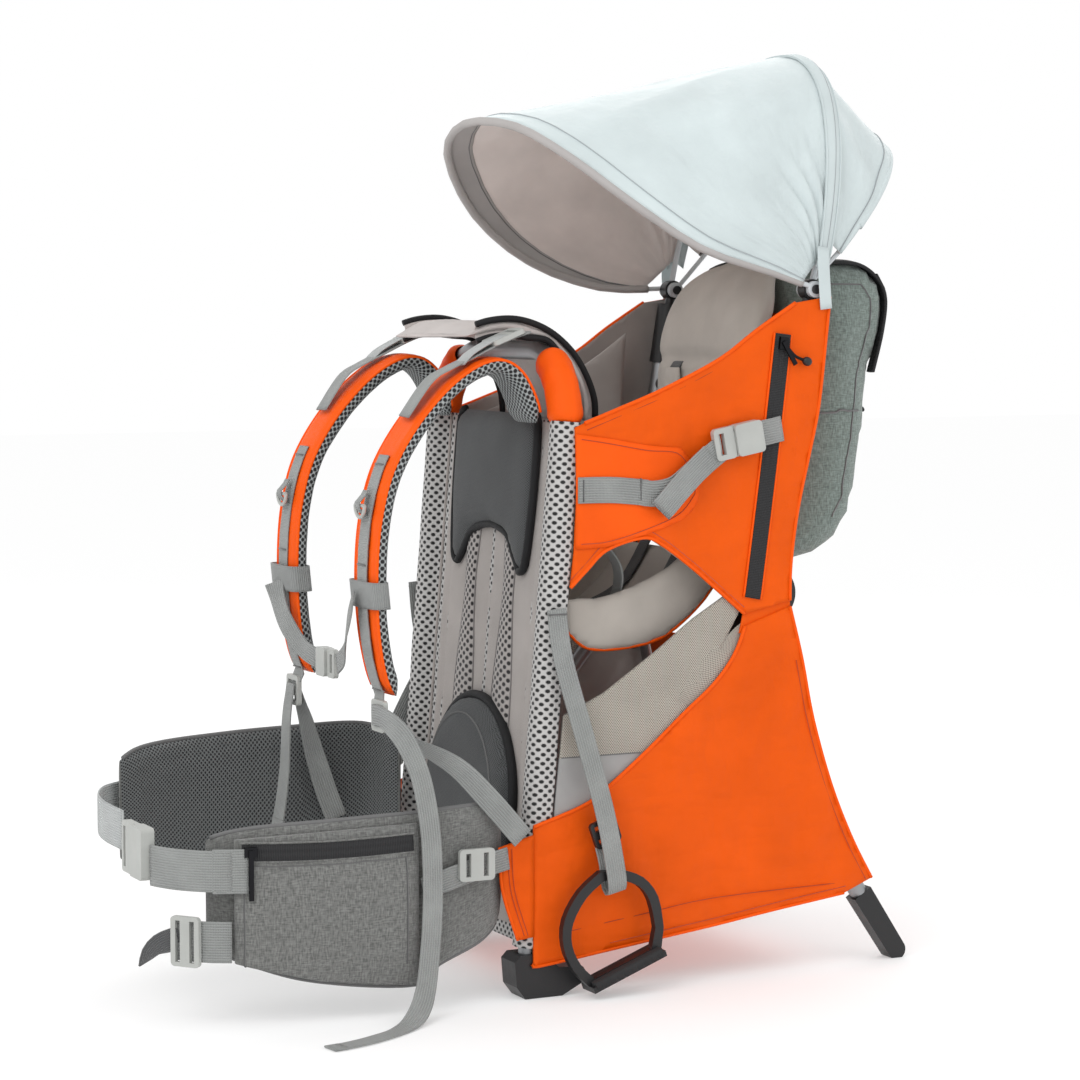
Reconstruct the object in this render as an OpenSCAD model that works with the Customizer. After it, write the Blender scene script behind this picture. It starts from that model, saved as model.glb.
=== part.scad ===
// Child carrier backpack: an aluminium frame with a fold-out stand, a child seat with harness,
// a sun canopy, shoulder straps, a hip belt with pockets, stirrups and a rear bag.
// Millimetres. +X is the wearer's left, -Y the wearer's side, +Z up, soles on z = 0.
// Every module is drawn with y = 0 at the front feet, and centred() then moves it to the
// origin, which is on the ground under the middle of the whole carrier.

/* [Frame tubes] */
// Half the distance between the centre lines of the side tubes
tube_x = 141; // [140.5:0.1:141.3]
// Outer diameter of the main tubes
tube_d = 18; // [16:0.5:18]
// Wall thickness of all tubes
tube_wall = 1.6; // [1.2:0.1:2.2]
// Backward lean of the front frame, degrees
front_lean = 4.6; // [4:0.1:5]
// Length of the front frame along its lean
front_h = 590; // [584:1:592]
// Centre-line radius of the front frame's top bends
front_bend = 80; // [76:1:84]
// Diameter of the seat support tubes
support_d = 16; // [14:0.5:16]

/* [Stand] */
// Height of the stand's pivot above the ground
pivot_z = 375; // [374:0.5:376]
// Distance of the stand's pivot behind the front feet
pivot_y = 262; // [261:0.5:263]
// Diameter of the stand's hinge pins
pin_d = 8; // [6:0.5:9]
// Radial clearance of every pin in a turning eye
pin_gap = 0.05; // [0.02:0.01:0.1]

/* [Canopy] */
// Distance from the stand's pivot up to the canopy's pivot
upright = 300; // [298:0.5:302]
// Height of the main hoop above the canopy's pivot
hoop_h = 240; // [225:1:245]
// Half width of the main hoop
hoop_w = 147; // [145:0.5:149]
// Diameter of the hoop rods
rod_d = 6; // [4:0.5:6]

/* [Webbing and fabric] */
// Width of the narrow webbing
web_w = 25; // [20:1:27]
// Thickness of the webbing
web_t = 1.8; // [1.2:0.1:2]
// Thickness of the side panels
panel_t = 3; // [2:0.1:3]
// Thickness of the shoulder pads
pad_t = 13; // [10:0.5:14]
// Half width of the rear bag
bag_w = 112; // [100:1:120]

/* [Hidden] */

$fn = 48;
origin_y = 50.5;
rear_lean = 9.2;
tube_r = tube_d / 2;
bore_r = tube_r - tube_wall;
support_r = support_d / 2;
pin_r = pin_d / 2;
rod_r = rod_d / 2;
panel_x = 155.5;
gap = 0.3;

// Colours
orange = [1.0, 0.36, 0.06];
grey_cloth = [0.62, 0.60, 0.58];
dark_cloth = [0.28, 0.28, 0.28];
heather = [0.50, 0.50, 0.49];
mesh_grey = [0.75, 0.74, 0.72];
web_grey = [0.62, 0.63, 0.62];
canopy_grey = [0.83, 0.87, 0.88];
cream = [0.80, 0.81, 0.79];
black = [0.06, 0.06, 0.06];
metal = [0.70, 0.71, 0.72];

// ---------- placing ----------

module centred() { translate([0, -origin_y, 0]) children(); }

// The same shape on the wearer's left and, mirrored, on the right
module both_sides() {
    children();
    mirror([1, 0, 0]) children();
}

// The plane of the front frame: y across it, z along its lean, starting at the tubes' lower ends
foot_y = 2;
foot_z = 24;
module in_front_plane() {
    translate([0, foot_y, foot_z]) rotate([-front_lean, 0, 0]) children();
}
function front_y(z) = foot_y + (z - foot_z) * tan(front_lean);

// A point at distance d from the stand's pivot, in the direction that leans back by a degrees
// from straight up (negative d and a go down)
function from_pivot(d, a) = [pivot_y + d * sin(a), pivot_z + d * cos(a)];
canopy_base = from_pivot(upright, rear_lean);

// ---------- shapes ----------

function at_x(x, p) = [x, p[0], p[1]];
function unit(v) = v / norm(v);
function lerp(a, b, t) = a + (b - a) * t;

// A straight round bar between two points
module bar(p, q, r) {
    d = q - p;
    translate(p)
        rotate([0, acos(d[2] / norm(d)), atan2(d[1], d[0])])
            cylinder(h = norm(d), r = r);
}

// A flat outline of [y, z] points, extruded towards +X from x by t
module side_plate(x, t) {
    translate([x, 0, 0]) rotate([90, 0, 90]) linear_extrude(t) children();
}

// A disc or bore along X
module x_disc(c, x, l, r) {
    translate([x, c[0], c[1]]) rotate([0, 90, 0]) cylinder(h = l, r = r);
}

// Catmull-Rom spline through points p, with n steps between two of them
function spline_point(p0, p1, p2, p3, t) =
    0.5 * (2 * p1 + (p2 - p0) * t + (2 * p0 - 5 * p1 + 4 * p2 - p3) * t * t
        + (3 * p1 - p0 - 3 * p2 + p3) * t * t * t);
function spline(p, n) = let (m = len(p) - 1)
    [for (i = [0 : m - 1]) for (k = [0 : n - 1])
        spline_point(p[max(i - 1, 0)], p[i], p[i + 1], p[min(i + 2, m)], k / n), p[m]];

// Unit direction and left normal of a polyline at point i
function run(p, i) = unit(p[min(i + 1, len(p) - 1)] - p[max(i - 1, 0)]);
function left(v) = [-v[1], v[0]];

// A flat strip round the line p, from lo to hi to its left
module strip(p, lo, hi) {
    m = len(p) - 1;
    polygon(concat([for (i = [0 : m]) p[i] + hi * left(run(p, i))],
        [for (i = [m : -1 : 0]) p[i] + lo * left(run(p, i))]));
}

// A solid swept along the route: its section is the closed list of [across, out] points,
// across lies along side[i] and out is square to it and to the route
module sweep(route, side, section) {
    n = len(section);
    m = len(route);
    function ring(i) = let (t = run(route, i), o = unit(cross(side[i], t)), s = cross(t, o))
        [for (q = section) route[i] + q[0] * s + q[1] * o];
    polyhedron([for (i = [0 : m - 1]) each ring(i)],
        concat([[for (k = [n - 1 : -1 : 0]) k]],
            [for (i = [0 : m - 2]) for (k = [0 : n - 1]) let (j = (k + 1) % n)
                [i * n + k, i * n + j, (i + 1) * n + j, (i + 1) * n + k]],
            [[for (k = [0 : n - 1]) (m - 1) * n + k]]));
}
function flat_section(w, t) = [[-w / 2, -t / 2], [w / 2, -t / 2], [w / 2, t / 2], [-w / 2, t / 2]];
function round_section(r, n) = [for (k = [0 : n - 1]) r * [cos(360 * k / n), sin(360 * k / n)]];

// A round tube along a route in a plane of constant x
module tube_along(route, outer, inner, n) {
    m = len(route);
    function at(i, r, k) = let (t = run(route, i), o = cross([1, 0, 0], t))
        route[i] + r * (cos(360 * k / n) * [1, 0, 0] + sin(360 * k / n) * o);
    function id(i, k, layer) = layer * m * n + i * n + k % n;
    polyhedron([for (r = [outer, inner]) for (i = [0 : m - 1]) for (k = [0 : n - 1]) at(i, r, k)],
        concat([for (i = [0 : m - 2]) for (k = [0 : n - 1])
                [id(i, k, 0), id(i, k + 1, 0), id(i + 1, k + 1, 0), id(i + 1, k, 0)]],
            [for (i = [0 : m - 2]) for (k = [0 : n - 1])
                [id(i + 1, k, 1), id(i + 1, k + 1, 1), id(i, k + 1, 1), id(i, k, 1)]],
            [for (k = [0 : n - 1]) [id(0, k + 1, 0), id(0, k, 0), id(0, k, 1), id(0, k + 1, 1)]],
            [for (k = [0 : n - 1])
                [id(m - 1, k, 0), id(m - 1, k + 1, 0), id(m - 1, k + 1, 1), id(m - 1, k, 1)]]));
}

// Webbing along a route, its width turning evenly from direction a to direction b
module webbing(route, a, b, w = web_w) {
    m = len(route) - 1;
    sweep(route, [for (i = [0 : m]) unit(lerp(a, b, i / m))], flat_section(w, web_t));
}

// A block with round corners in plan, standing on z = 0
module rounded_block(l, w, h, r) {
    linear_extrude(h) {
        square([l - 2 * r, w], center = true);
        square([l, w - 2 * r], center = true);
        for (x = [-1, 1], y = [-1, 1])
            translate([x * (l / 2 - r), y * (w / 2 - r)]) circle(r);
    }
}

// ---------- frame ----------

// Inverted U: legs at +-tube_x, top at height front_h
module front_u(r, extra) {
    both_sides() {
        translate([tube_x, 0, -extra]) cylinder(h = front_h - front_bend + extra, r = r);
        translate([tube_x - front_bend, 0, front_h - front_bend]) rotate([90, 0, 0])
            rotate_extrude(angle = 90) translate([front_bend, 0]) circle(r);
    }
    translate([front_bend - tube_x, 0, front_h]) rotate([0, 90, 0])
        cylinder(h = 2 * (tube_x - front_bend), r = r);
}

module front_frame_tube() {
    color(metal) centred() in_front_plane() difference() {
        front_u(tube_r, 0);
        front_u(bore_r, 1);
    }
}

rear_tube_end = 240;
hub_grip = 26;
module rear_frame_tubes() {
    color(metal) centred() both_sides() difference() {
        bar(at_x(tube_x, from_pivot(hub_grip, rear_lean)),
            at_x(tube_x, from_pivot(rear_tube_end, rear_lean)), tube_r);
        bar(at_x(tube_x, from_pivot(hub_grip - 1, rear_lean)),
            at_x(tube_x, from_pivot(rear_tube_end + 1, rear_lean)), bore_r);
    }
}

support_x = 122;
low_bar_z = 78;
bar_back = 14;
support_foot = [front_y(low_bar_z) + bar_back, low_bar_z];
support_angle = atan2(pivot_y - support_foot[0], pivot_z - support_foot[1]);
support_length = norm([pivot_y, pivot_z] - support_foot);
module seat_support_tubes() {
    color(metal) centred() both_sides() difference() {
        bar(at_x(support_x, from_pivot(-hub_grip, support_angle)),
            at_x(support_x, from_pivot(-support_length, support_angle)), support_r);
        bar(at_x(support_x, from_pivot(1 - hub_grip, support_angle)),
            at_x(support_x, from_pivot(14 - support_length, support_angle)),
            support_r - tube_wall);
    }
}

// Bars welded behind the two front legs and between the two rear uprights
mid_bar_z = 232;
rear_bar_d = 200;
bar_r = 7;
module cross_bars() {
    end_x = tube_x - tube_r + 2;
    color(metal) centred() {
        for (z = [low_bar_z, mid_bar_z])
            bar([-end_x, front_y(z) + bar_back, z], [end_x, front_y(z) + bar_back, z], bar_r);
        bar(at_x(-end_x, from_pivot(rear_bar_d, rear_lean)),
            at_x(end_x, from_pivot(rear_bar_d, rear_lean)), bar_r);
    }
}

// Fork of two plates round the stand's knuckle, with a boss for each fixed tube
hub_r = 27;
fork_in = 131.2;
fork_out = 151;
hub_out = 154.5;
hub_in = 112;
stand_lean = 14;
stand_fold = 36;
module stand_hinge_hubs() {
    boss = 58;
    boss_wall = 3.4;
    side_room = 25;
    color(black) centred() both_sides() difference() {
        union() {
            x_disc([pivot_y, pivot_z], hub_in, hub_out - hub_in, hub_r);
            bar(at_x(tube_x, from_pivot(20, rear_lean)),
                at_x(tube_x, from_pivot(boss, rear_lean)), tube_r + boss_wall);
            bar(at_x(support_x, from_pivot(-20, support_angle)),
                at_x(support_x, from_pivot(-boss, support_angle)), support_r + boss_wall);
        }
        x_disc([pivot_y, pivot_z], fork_in, fork_out - fork_in, 21.3);
        translate([0, pivot_y, pivot_z]) side_plate(fork_in, fork_out - fork_in)
            polygon(concat([[0, 0]], [for (a = [-stand_fold + stand_lean - side_room : 8 :
                stand_lean + side_room + 6]) 62 * [sin(a), -cos(a)]]));
        x_disc([pivot_y, pivot_z], hub_in - 1, hub_out - hub_in + 2, pin_r);
        bar(at_x(tube_x, from_pivot(hub_grip, rear_lean)),
            at_x(tube_x, from_pivot(boss + 2, rear_lean)), tube_r);
        bar(at_x(support_x, from_pivot(-hub_grip, support_angle)),
            at_x(support_x, from_pivot(-boss - 2, support_angle)), support_r);
    }
}

module stand_hinge_pins() {
    head = 2.5;
    color(metal) centred() both_sides() {
        x_disc([pivot_y, pivot_z], hub_in, hub_out - hub_in, pin_r);
        x_disc([pivot_y, pivot_z], hub_in - head, head, pin_r + 3);
    }
}

// Moulded shoe round the lower end of each front leg, flat underneath
module front_feet() {
    shoe = [[-16, 36], [-14, 12], [-5, 0], [34, 0], [56, 11], [60, 20], [56, 26], [30, 28],
        [16, 42], [-10, 42]];
    color(black) centred() both_sides() difference() {
        side_plate(124, 31) polygon(shoe);
        in_front_plane() translate([tube_x, 0, 0]) cylinder(h = 60, r = tube_r);
    }
}

// Cap on each rear upright: the tube from below, the canopy's post from above
post_r = 5;
post_from = 245;
module canopy_sockets() {
    color(black) centred() both_sides() difference() {
        bar(at_x(tube_x, from_pivot(222, rear_lean)),
            at_x(tube_x, from_pivot(284, rear_lean)), 12.5);
        bar(at_x(tube_x, from_pivot(220, rear_lean)),
            at_x(tube_x, from_pivot(rear_tube_end, rear_lean)), tube_r);
        bar(at_x(tube_x, from_pivot(post_from, rear_lean)),
            at_x(tube_x, from_pivot(286, rear_lean)), post_r + pin_gap);
    }
}

// ---------- stand ----------

module stand_knuckles() {
    eye_r = 20;
    spigot = 52;
    color(black) centred() both_sides() difference() {
        union() {
            x_disc([pivot_y, pivot_z], fork_in + gap, fork_out - fork_in - 2 * gap, eye_r);
            bar(at_x(tube_x, from_pivot(-14, -stand_lean)),
                at_x(tube_x, from_pivot(-spigot, -stand_lean)), bore_r);
        }
        x_disc([pivot_y, pivot_z], fork_in, fork_out - fork_in, pin_r + pin_gap);
    }
}

// A stand leg: straight, bent outwards on a long radius, straight again to the foot
leg_start = 22;
leg_straight = 150;
leg_bend = 470;
leg_turn = 19;
leg_end = 22;
knee = from_pivot(-leg_straight, -stand_lean);
knee_centre = knee + leg_bend * [cos(stand_lean), sin(stand_lean)];
foot_lean = stand_lean + leg_turn;
ankle = knee_centre - leg_bend * [cos(foot_lean), sin(foot_lean)];
leg_tip = ankle + leg_end * [sin(foot_lean), -cos(foot_lean)];
leg_steps = 6;
leg_line = concat([from_pivot(-leg_start, -stand_lean)],
    [for (i = [0 : leg_steps]) let (a = stand_lean + i * leg_turn / leg_steps)
        knee_centre - leg_bend * [cos(a), sin(a)]], [leg_tip]);

module stand_tubes() {
    brace = from_pivot(-138, -stand_lean);
    end_x = tube_x - bore_r - 0.3;
    color(metal) centred() {
        both_sides() tube_along([for (p = leg_line) at_x(tube_x, p)], tube_r, bore_r, 28);
        bar(at_x(-end_x, brace), at_x(end_x, brace), bar_r);
    }
}

// Paddle foot: a plug in the tube and a blade that ends in a round toe with a flat sole
toe = [413, 8];
module stand_feet() {
    blade_r = 11;
    toe_r = 10;
    blade = toe - leg_tip;
    across = left(unit(blade));
    color(black) centred() both_sides() {
        difference() {
            side_plate(tube_x - tube_r, tube_d) {
                polygon([leg_tip + blade_r * across, toe + toe_r * across,
                    toe - toe_r * across, leg_tip - blade_r * across]);
                translate(toe) circle(toe_r);
            }
            translate([0, toe[0] - 50, -20]) cube([200, 100, 20]);
        }
        bar(at_x(tube_x, leg_tip - 14 * unit(blade)), at_x(tube_x, leg_tip), bore_r - 1);
    }
}

// Cloth between the stand's legs, behind the storage space
storage_w = 112;
module storage_rear_panel() {
    line = spline([from_pivot(-58, -stand_lean), knee, [332, 156], [352, 106]], 4);
    color(orange) centred() side_plate(-storage_w, 2 * storage_w)
        strip(line, -11, -8.5);
}

// ---------- storage ----------

module storage_floor() {
    line = spline([[24, 42], [120, 50], [225, 64], [338, 82]], 3);
    color(orange) centred() side_plate(-storage_w, 2 * storage_w)
        strip(line, -1.25, 1.25);
}

// ---------- side panels ----------

hem_rear = [[324, 664], [320, 625], [312, 557], [301, 508], [289, 456], [282, 406], [281, 368]];
hem_top = [[56, 545], [92, 558], [140, 576], [201, 604], [241, 631], [285, 658]];
hem_arch = [[230, 357], [197, 384], [171, 405], [140, 427], [119, 435], [80, 425], [59, 407],
    [41, 390]];
module side_panels_upper() {
    outline = concat(spline(hem_top, 3), spline(hem_rear, 3), spline(hem_arch, 3),
        [[45, 423], [48, 480], [46, 541]]);
    color(orange) centred() both_sides() side_plate(panel_x, panel_t) polygon(outline);
}

leg_hem = [[295, 310], [308, 250], [329, 184], [353, 129], [377, 86]];
upper_hem = [[2.5, 165], [54, 181], [79, 196], [120, 227], [164, 264], [197, 291], [219, 318],
    [230.5, 345]];
lower_hem = [[345, 73], [264, 63], [198, 54], [140, 47], [82, 40], [7, 31], [2.5, 34]];
module side_panels_lower() {
    outline = concat(spline(upper_hem, 3), [[280.5, 362]], spline(leg_hem, 3),
        spline(lower_hem, 2));
    color(orange) centred() both_sides() side_plate(panel_x, panel_t) polygon(outline);
}

// Reinforcing tab over the upper panel, and the flap that the belt's side strap is sewn to
tab_x = panel_x + panel_t + gap;
tab_t = 2;
module side_tabs() {
    tab_top = [[46, 535], [77, 531], [122, 523], [158, 520]];
    tab_end = [[172, 504], [178, 485], [176, 468], [160, 451], [119, 437.5]];
    flap = [[-33, 148], [2.2, 157], [2.2, 60], [-14, 58], [-30, 106]];
    color(orange) centred() both_sides() {
        side_plate(tab_x, tab_t)
            polygon(concat(spline(tab_top, 2), spline(tab_end, 2), [[80, 427.5], [46, 426]]));
        side_plate(panel_x, panel_t) polygon(flap);
    }
}

// Padded lining inside the tubes, beside the child
module side_linings() {
    outline = concat(spline([[66, 540], [140, 566], [201, 594], [248, 626]], 3),
        spline([[246, 600], [240, 500], [228, 420], [214, 383]], 3),
        spline([[197, 392], [171, 412], [119, 441], [80, 431], [66, 420]], 3));
    color(grey_cloth) centred() both_sides() side_plate(124, 6.5) polygon(outline);
}

// Mesh between the leg opening and the lower panel
module mesh_gussets() {
    outline = concat([[24, 150], [27, 188], [36, 268]],
        spline([[78, 287], [135, 325], [175, 354], [213, 377]], 3),
        [[226, 360], [170, 262], [110, 205], [60, 165], [40, 150]]);
    color(mesh_grey) centred() both_sides() side_plate(151, 3.5) polygon(outline);
}

// ---------- the wearer's side ----------

// Suspended mesh that wraps round both front legs: a band of even thickness in plan
module front_mesh_panel() {
    half = [[153, 9.5], [153, -11.2], [128.5, -11.2], [124, 1], [112, 3.5], [0, 4]];
    other = [for (i = [len(half) - 2 : -1 : 0]) [-half[i][0], half[i][1]]];
    color(mesh_grey) centred() in_front_plane() translate([0, 0, 24])
        linear_extrude(500) difference() {
            strip(concat(half, other), -1.5, 1.5);
            for (s = [-1, 1]) translate([s * tube_x, 0]) circle(tube_r + 0.2);
        }
}

// Puffy sleeve on each top bend
module front_top_sleeves() {
    sleeve_r = 17;
    first = 12;
    last = 62;
    color(orange) centred() in_front_plane() both_sides()
        translate([tube_x - front_bend, 0, front_h - front_bend]) rotate([90, 0, 0])
            rotate([0, 0, first]) rotate_extrude(angle = last - first)
                translate([front_bend, 0]) difference() {
                    circle(sleeve_r);
                    circle(tube_r + 0.2);
                }
}

// Pad draped over the top bar
module chest_pad() {
    outer = [[-34, 634], [-12, 641], [14, 643], [38, 638], [60, 627], [80, 609], [94, 587],
        [102, 565], [103, 544]];
    inner = [[86, 544], [84, 566], [75, 590], [66, 606], [52, 621.8], [30, 625], [8, 627],
        [-12, 625], [-32, 618]];
    color(grey_cloth) centred() side_plate(-88, 176)
        polygon(concat(spline(outer, 2), spline(inner, 2)));
}

// A pad outline in the front plane, lying on the mesh
pad_back = 1.7;
module front_pad(outline, depth) {
    in_front_plane() translate([0, pad_back, 0]) rotate([90, 0, 0])
        linear_extrude(depth) polygon(outline);
}

module upper_back_pad() {
    half = [[0, 530], [78, 530], [90, 520], [91, 450], [84, 385], [72, 376], [40, 410],
        [0, 418]];
    color(dark_cloth) centred()
        front_pad(concat(half, [for (i = [len(half) - 2 : -1 : 1]) [-half[i][0], half[i][1]]]),
            12);
}

module lumbar_pad() {
    dome = [for (a = [0 : 10 : 180]) [94 * cos(a), 150 + 98 * sin(a)]];
    color(dark_cloth) centred() front_pad(concat([[-94, 90], [94, 90]], dome), 22);
}

// ---------- child seat ----------

module seat_sling() {
    base = spline([[64, 352], [82, 334], [127, 333], [169, 344], [206, 372], [232, 410]], 3);
    wing = spline([[62, 342], [84, 325], [127, 324], [169, 334], [212, 368], [236, 404],
        [232, 430], [205, 424], [170, 402], [130, 384], [90, 374], [60, 372], [62, 342]], 2);
    color(grey_cloth) centred() {
        side_plate(-106, 212) strip(base, -5, 5);
        both_sides() side_plate(106.1, 6) polygon(wing);
    }
}

module seat_back_pad() {
    front = [[240, 424], [256, 460], [262, 520], [263, 600], [270, 640], [284, 672],
        [304, 692], [322, 700]];
    back = [[334, 696], [330, 686], [318, 672], [304, 645], [292, 622], [286, 604],
        [282, 560], [276, 500], [266, 440], [258, 424]];
    color(grey_cloth) centred() side_plate(-100, 200)
        polygon(concat(spline(front, 2), spline(back, 2)));
}

module child_harness() {
    lie = spline([[259, 596], [258, 540], [251, 464], [232, 428], [200, 376], [168, 357],
        [144, 351]], 3);
    loop = spline([[108, 425], [124, 400], [120, 372], [98, 352], [76, 352]], 3);
    buckle_at = [128, 344.5];
    color(web_grey) centred() {
        both_sides() side_plate(28, 20) strip(lie, -1, 1);
        both_sides() side_plate(85, 19) strip(loop, -1, 1);
        translate([0, buckle_at[0], buckle_at[1]]) rounded_block(44, 40, 13, 8);
    }
}

module rear_panel() {
    color(orange) centred() side_plate(-128, 256) {
        lo = from_pivot(40, rear_lean);
        hi = from_pivot(278, rear_lean);
        strip([lo, hi], -13, -10.5);
    }
}

// ---------- rear bag and zips ----------

module rear_bag() {
    outline = concat(spline([[334, 694], [352, 700], [389, 699], [413, 686], [425, 664],
        [422, 630], [411, 588], [404, 540], [392, 470], [374, 430], [345, 408], [300, 400]], 2),
        [[286, 410], [292, 450], [314, 590], [330, 684]]);
    color(heather) centred() side_plate(-bag_w, 2 * bag_w) polygon(outline);
}

side_zip = [[270.5, 628], [264, 574], [254, 492], [240, 388], [237.5, 372]];
zip_x = panel_x + panel_t + gap;
zip_t = 1.2;
pocket_face = [[177.5, -124], [157, -297]];
pocket_dir = unit(pocket_face[1] - pocket_face[0]);
right_lift = 40;
bag_zip_at = [421.5, 679];
bag_zip_angle = -58;
module zip_tapes() {
    color(black) centred() {
        both_sides() side_plate(zip_x, zip_t) strip(side_zip, -8.5, 8.5);
        for (s = [0, 1]) mirror([s, 0, 0]) translate([0, 0, 157 + s * right_lift])
            linear_extrude(14) strip([pocket_face[0] + 6 * pocket_dir,
                pocket_face[1] - 6 * pocket_dir], gap, gap + zip_t);
        translate([-95, bag_zip_at[0], bag_zip_at[1]]) rotate([bag_zip_angle, 0, 0])
            translate([0, -9, 0]) cube([190, 18, zip_t]);
    }
}

// A zip's slider with its travel along x, its pull hanging at an angle from the travel
module slider(pull_angle, pull_length) {
    body_t = 3.4;
    translate([-6, -4.5, gap]) cube([12, 9, body_t]);
    rotate([0, 0, pull_angle]) translate([-2, -2.2, body_t]) cube([pull_length, 4.4, 1.8]);
}

zip_run = unit(side_zip[4] - side_zip[0]);
module side_slider() {
    translate([zip_x + zip_t, 269.5, 619]) rotate([90, 0, 90])
        rotate([0, 0, atan2(zip_run[1], zip_run[0])]) slider(38, 26);
}
module zip_slider_left() { color(black) centred() side_slider(); }
module zip_slider_right() { color(black) centred() mirror([1, 0, 0]) side_slider(); }

module pocket_slider() {
    at = pocket_face[1] - 14 * pocket_dir + (zip_t + gap) * left(-pocket_dir) * -1;
    translate([at[0], at[1], 164]) rotate([0, 0, -atan2(-pocket_dir[0], -pocket_dir[1])])
        rotate([90, 0, 90]) slider(-90, 46);
}
module pocket_slider_left() { color(black) centred() pocket_slider(); }
module pocket_slider_right() {
    color(black) centred() translate([0, 0, right_lift]) mirror([1, 0, 0]) pocket_slider();
}

module bag_slider() {
    color(black) centred() translate([-84, bag_zip_at[0], bag_zip_at[1]])
        rotate([bag_zip_angle, 0, 0]) translate([0, 0, zip_t]) slider(-60, 24);
}

// ---------- buckles ----------

// Socket from x = 0 to l, open at x = 0
module buckle_socket(l, w, t) {
    difference() {
        translate([l / 2, 0, -t / 2]) rounded_block(l, w, t, 4);
        translate([-1, -w / 2 + 6, -t / 2 + 2.8]) cube([l - 7, w - 12, t - 5.6]);
    }
}

// Tongue with its prong in the socket and its webbing bar outside it
module buckle_tongue(l, w, t, prong) {
    difference() {
        translate([-l / 2 - 1, 0, -t / 2 + 2.5]) rounded_block(l, w, t - 5, 4);
        translate([-l + 4, -w / 2 + 5, -t / 2]) cube([6, w - 10, t]);
    }
    translate([-2, -w / 2 + 6 + gap, -t / 2 + 2.8 + gap])
        cube([prong + 2, w - 12 - 2 * gap, t - 5.6 - 2 * gap]);
}

side_buckle_w = 31;
side_buckle_t = 11;
side_buckle_angle = 10.8;
module at_side_buckle() {
    translate([168, 212, 525.5]) rotate([90, 0, 90]) rotate([0, 0, side_buckle_angle])
        children();
}
module side_tongue() { at_side_buckle() buckle_tongue(22, side_buckle_w, side_buckle_t, 16); }
module side_buckle_tongue_left() { color(cream) centred() side_tongue(); }
module side_buckle_tongue_right() { color(cream) centred() mirror([1, 0, 0]) side_tongue(); }

module at_belt_buckle() { translate([58, -357, 156]) rotate([90, 0, 0]) children(); }
module belt_tongue() { color(cream) centred() at_belt_buckle() buckle_tongue(28, 48, 13, 22); }

module at_sternum_buckle() { translate([0, -141, 312]) rotate([90, 0, 180]) children(); }
module sternum_tongue() { color(cream) centred() at_sternum_buckle() buckle_tongue(18, 28, 10, 14); }

module buckle_sockets() {
    color(cream) centred() {
        both_sides() at_side_buckle() buckle_socket(30, side_buckle_w, side_buckle_t);
        at_belt_buckle() buckle_socket(34, 48, 13);
        at_sternum_buckle() buckle_socket(22, 28, 10);
    }
}

// Webbing across each side: sewn to the tab, slack, and up to the tongue
strap_x = tab_x + tab_t + gap;
module side_straps() {
    front = spline([[58, 482], [98, 481], [122, 476], [144, 478], [162, 492], [184, 511]], 3);
    color(web_grey) centred() both_sides() side_plate(strap_x, web_t) {
        strip(front, -web_w / 2, web_w / 2);
        strip([[244, 532], [256, 534]], -web_w / 2, web_w / 2);
    }
}

// ---------- shoulder harness ----------

pad_line = [[23, 545], [18, 565], [4, 590], [-16, 601], [-42, 594], [-72, 572], [-102, 538],
    [-124, 500], [-136, 455], [-140, 405], [-138, 355], [-131, 315], [-122, 292]];
pad_in = 73;
pad_out = 128;
module shoulder_pads() {
    color(dark_cloth) centred() both_sides() side_plate(pad_in, pad_out - pad_in)
        strip(spline(pad_line, 3), -pad_t / 2, pad_t / 2);
}

ring_at = [-149.5, 470];
ring_r = 11;
wire_r = 1.8;
module shoulder_webbing() {
    near = pad_t / 2 + gap;
    whole = spline(pad_line, 3);
    sewn = [for (i = [18 : len(whole) - 1]) whole[i]];
    lifter = spline([[19, 630], [-40, 607], [-80, 587], [-106, 552]], 3);
    left_lower = [[110, -127, 262], [124, -104, 246], [150, -74, 226], [166, -48, 196],
        [167, -14, 157]];
    right_lower = [[-108, -128, 262], [-118, -118, 240], [-126, -106, 205], [-130, -92, 165],
        [-132, -80, 136]];
    color(web_grey) centred() {
        both_sides() {
            side_plate(90, 22) strip(sewn, -near - web_t, -near);
            side_plate(95, 24) strip(lifter, -0.9, 0.9);
            // Wrap of the sternum strap round the pad
            difference() {
                translate([70, -150.6, 375]) cube([61, 21.4, 24]);
                translate([72, -148.9, 374]) cube([57, 17.9, 26]);
            }
            // Keeper of the ring
            difference() {
                translate([94.2, -153.5, 466]) cube([11.6, 11.4, 8]);
                x_disc(ring_at, 80, 40, wire_r + pin_gap);
            }
        }
        webbing(left_lower, [1, 0, 0], [0, 0.75, 0.65], 22);
        webbing(right_lower, [1, 0, 0], [0.2, 1, 0.4], 22);
    }
}

// Lies across webbing in the plane of Y and Z: x along it, z out of it
module on_strap(x, p, a) {
    translate([x, p[0], p[1]]) rotate([a, 0, 0]) rotate([0, 0, 90]) children();
}

module ladder_lock(w, l) {
    difference() {
        rounded_block(l, w + 8, 4.5, 4);
        for (x = [-l / 4, l / 4])
            translate([x - 2.5, -w / 2, -1]) cube([5, w, 7]);
    }
}

module side_lock(x, p, w, l) { translate([x, p[0], p[1]]) rotate([90, 0, 90]) ladder_lock(w, l); }

module strap_locks() {
    color(cream) centred() {
        both_sides() {
            on_strap(107, [-4, 624], 22) ladder_lock(24, 34);
            on_strap(109, [-132, 273], 90) ladder_lock(22, 30);
        }
        side_lock(170.5, [-64, 137], 22, 36);
        translate([0, 0, 30]) mirror([1, 0, 0]) side_lock(170.5, [-64, 137], 22, 36);
        mirror([1, 0, 0]) side_lock(158.7, [-8, 196], 22, 28);
        translate([132, -334, 82]) rotate([0, 0, -52]) rotate([90, 0, 90]) ladder_lock(38, 30);
    }
}

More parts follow.
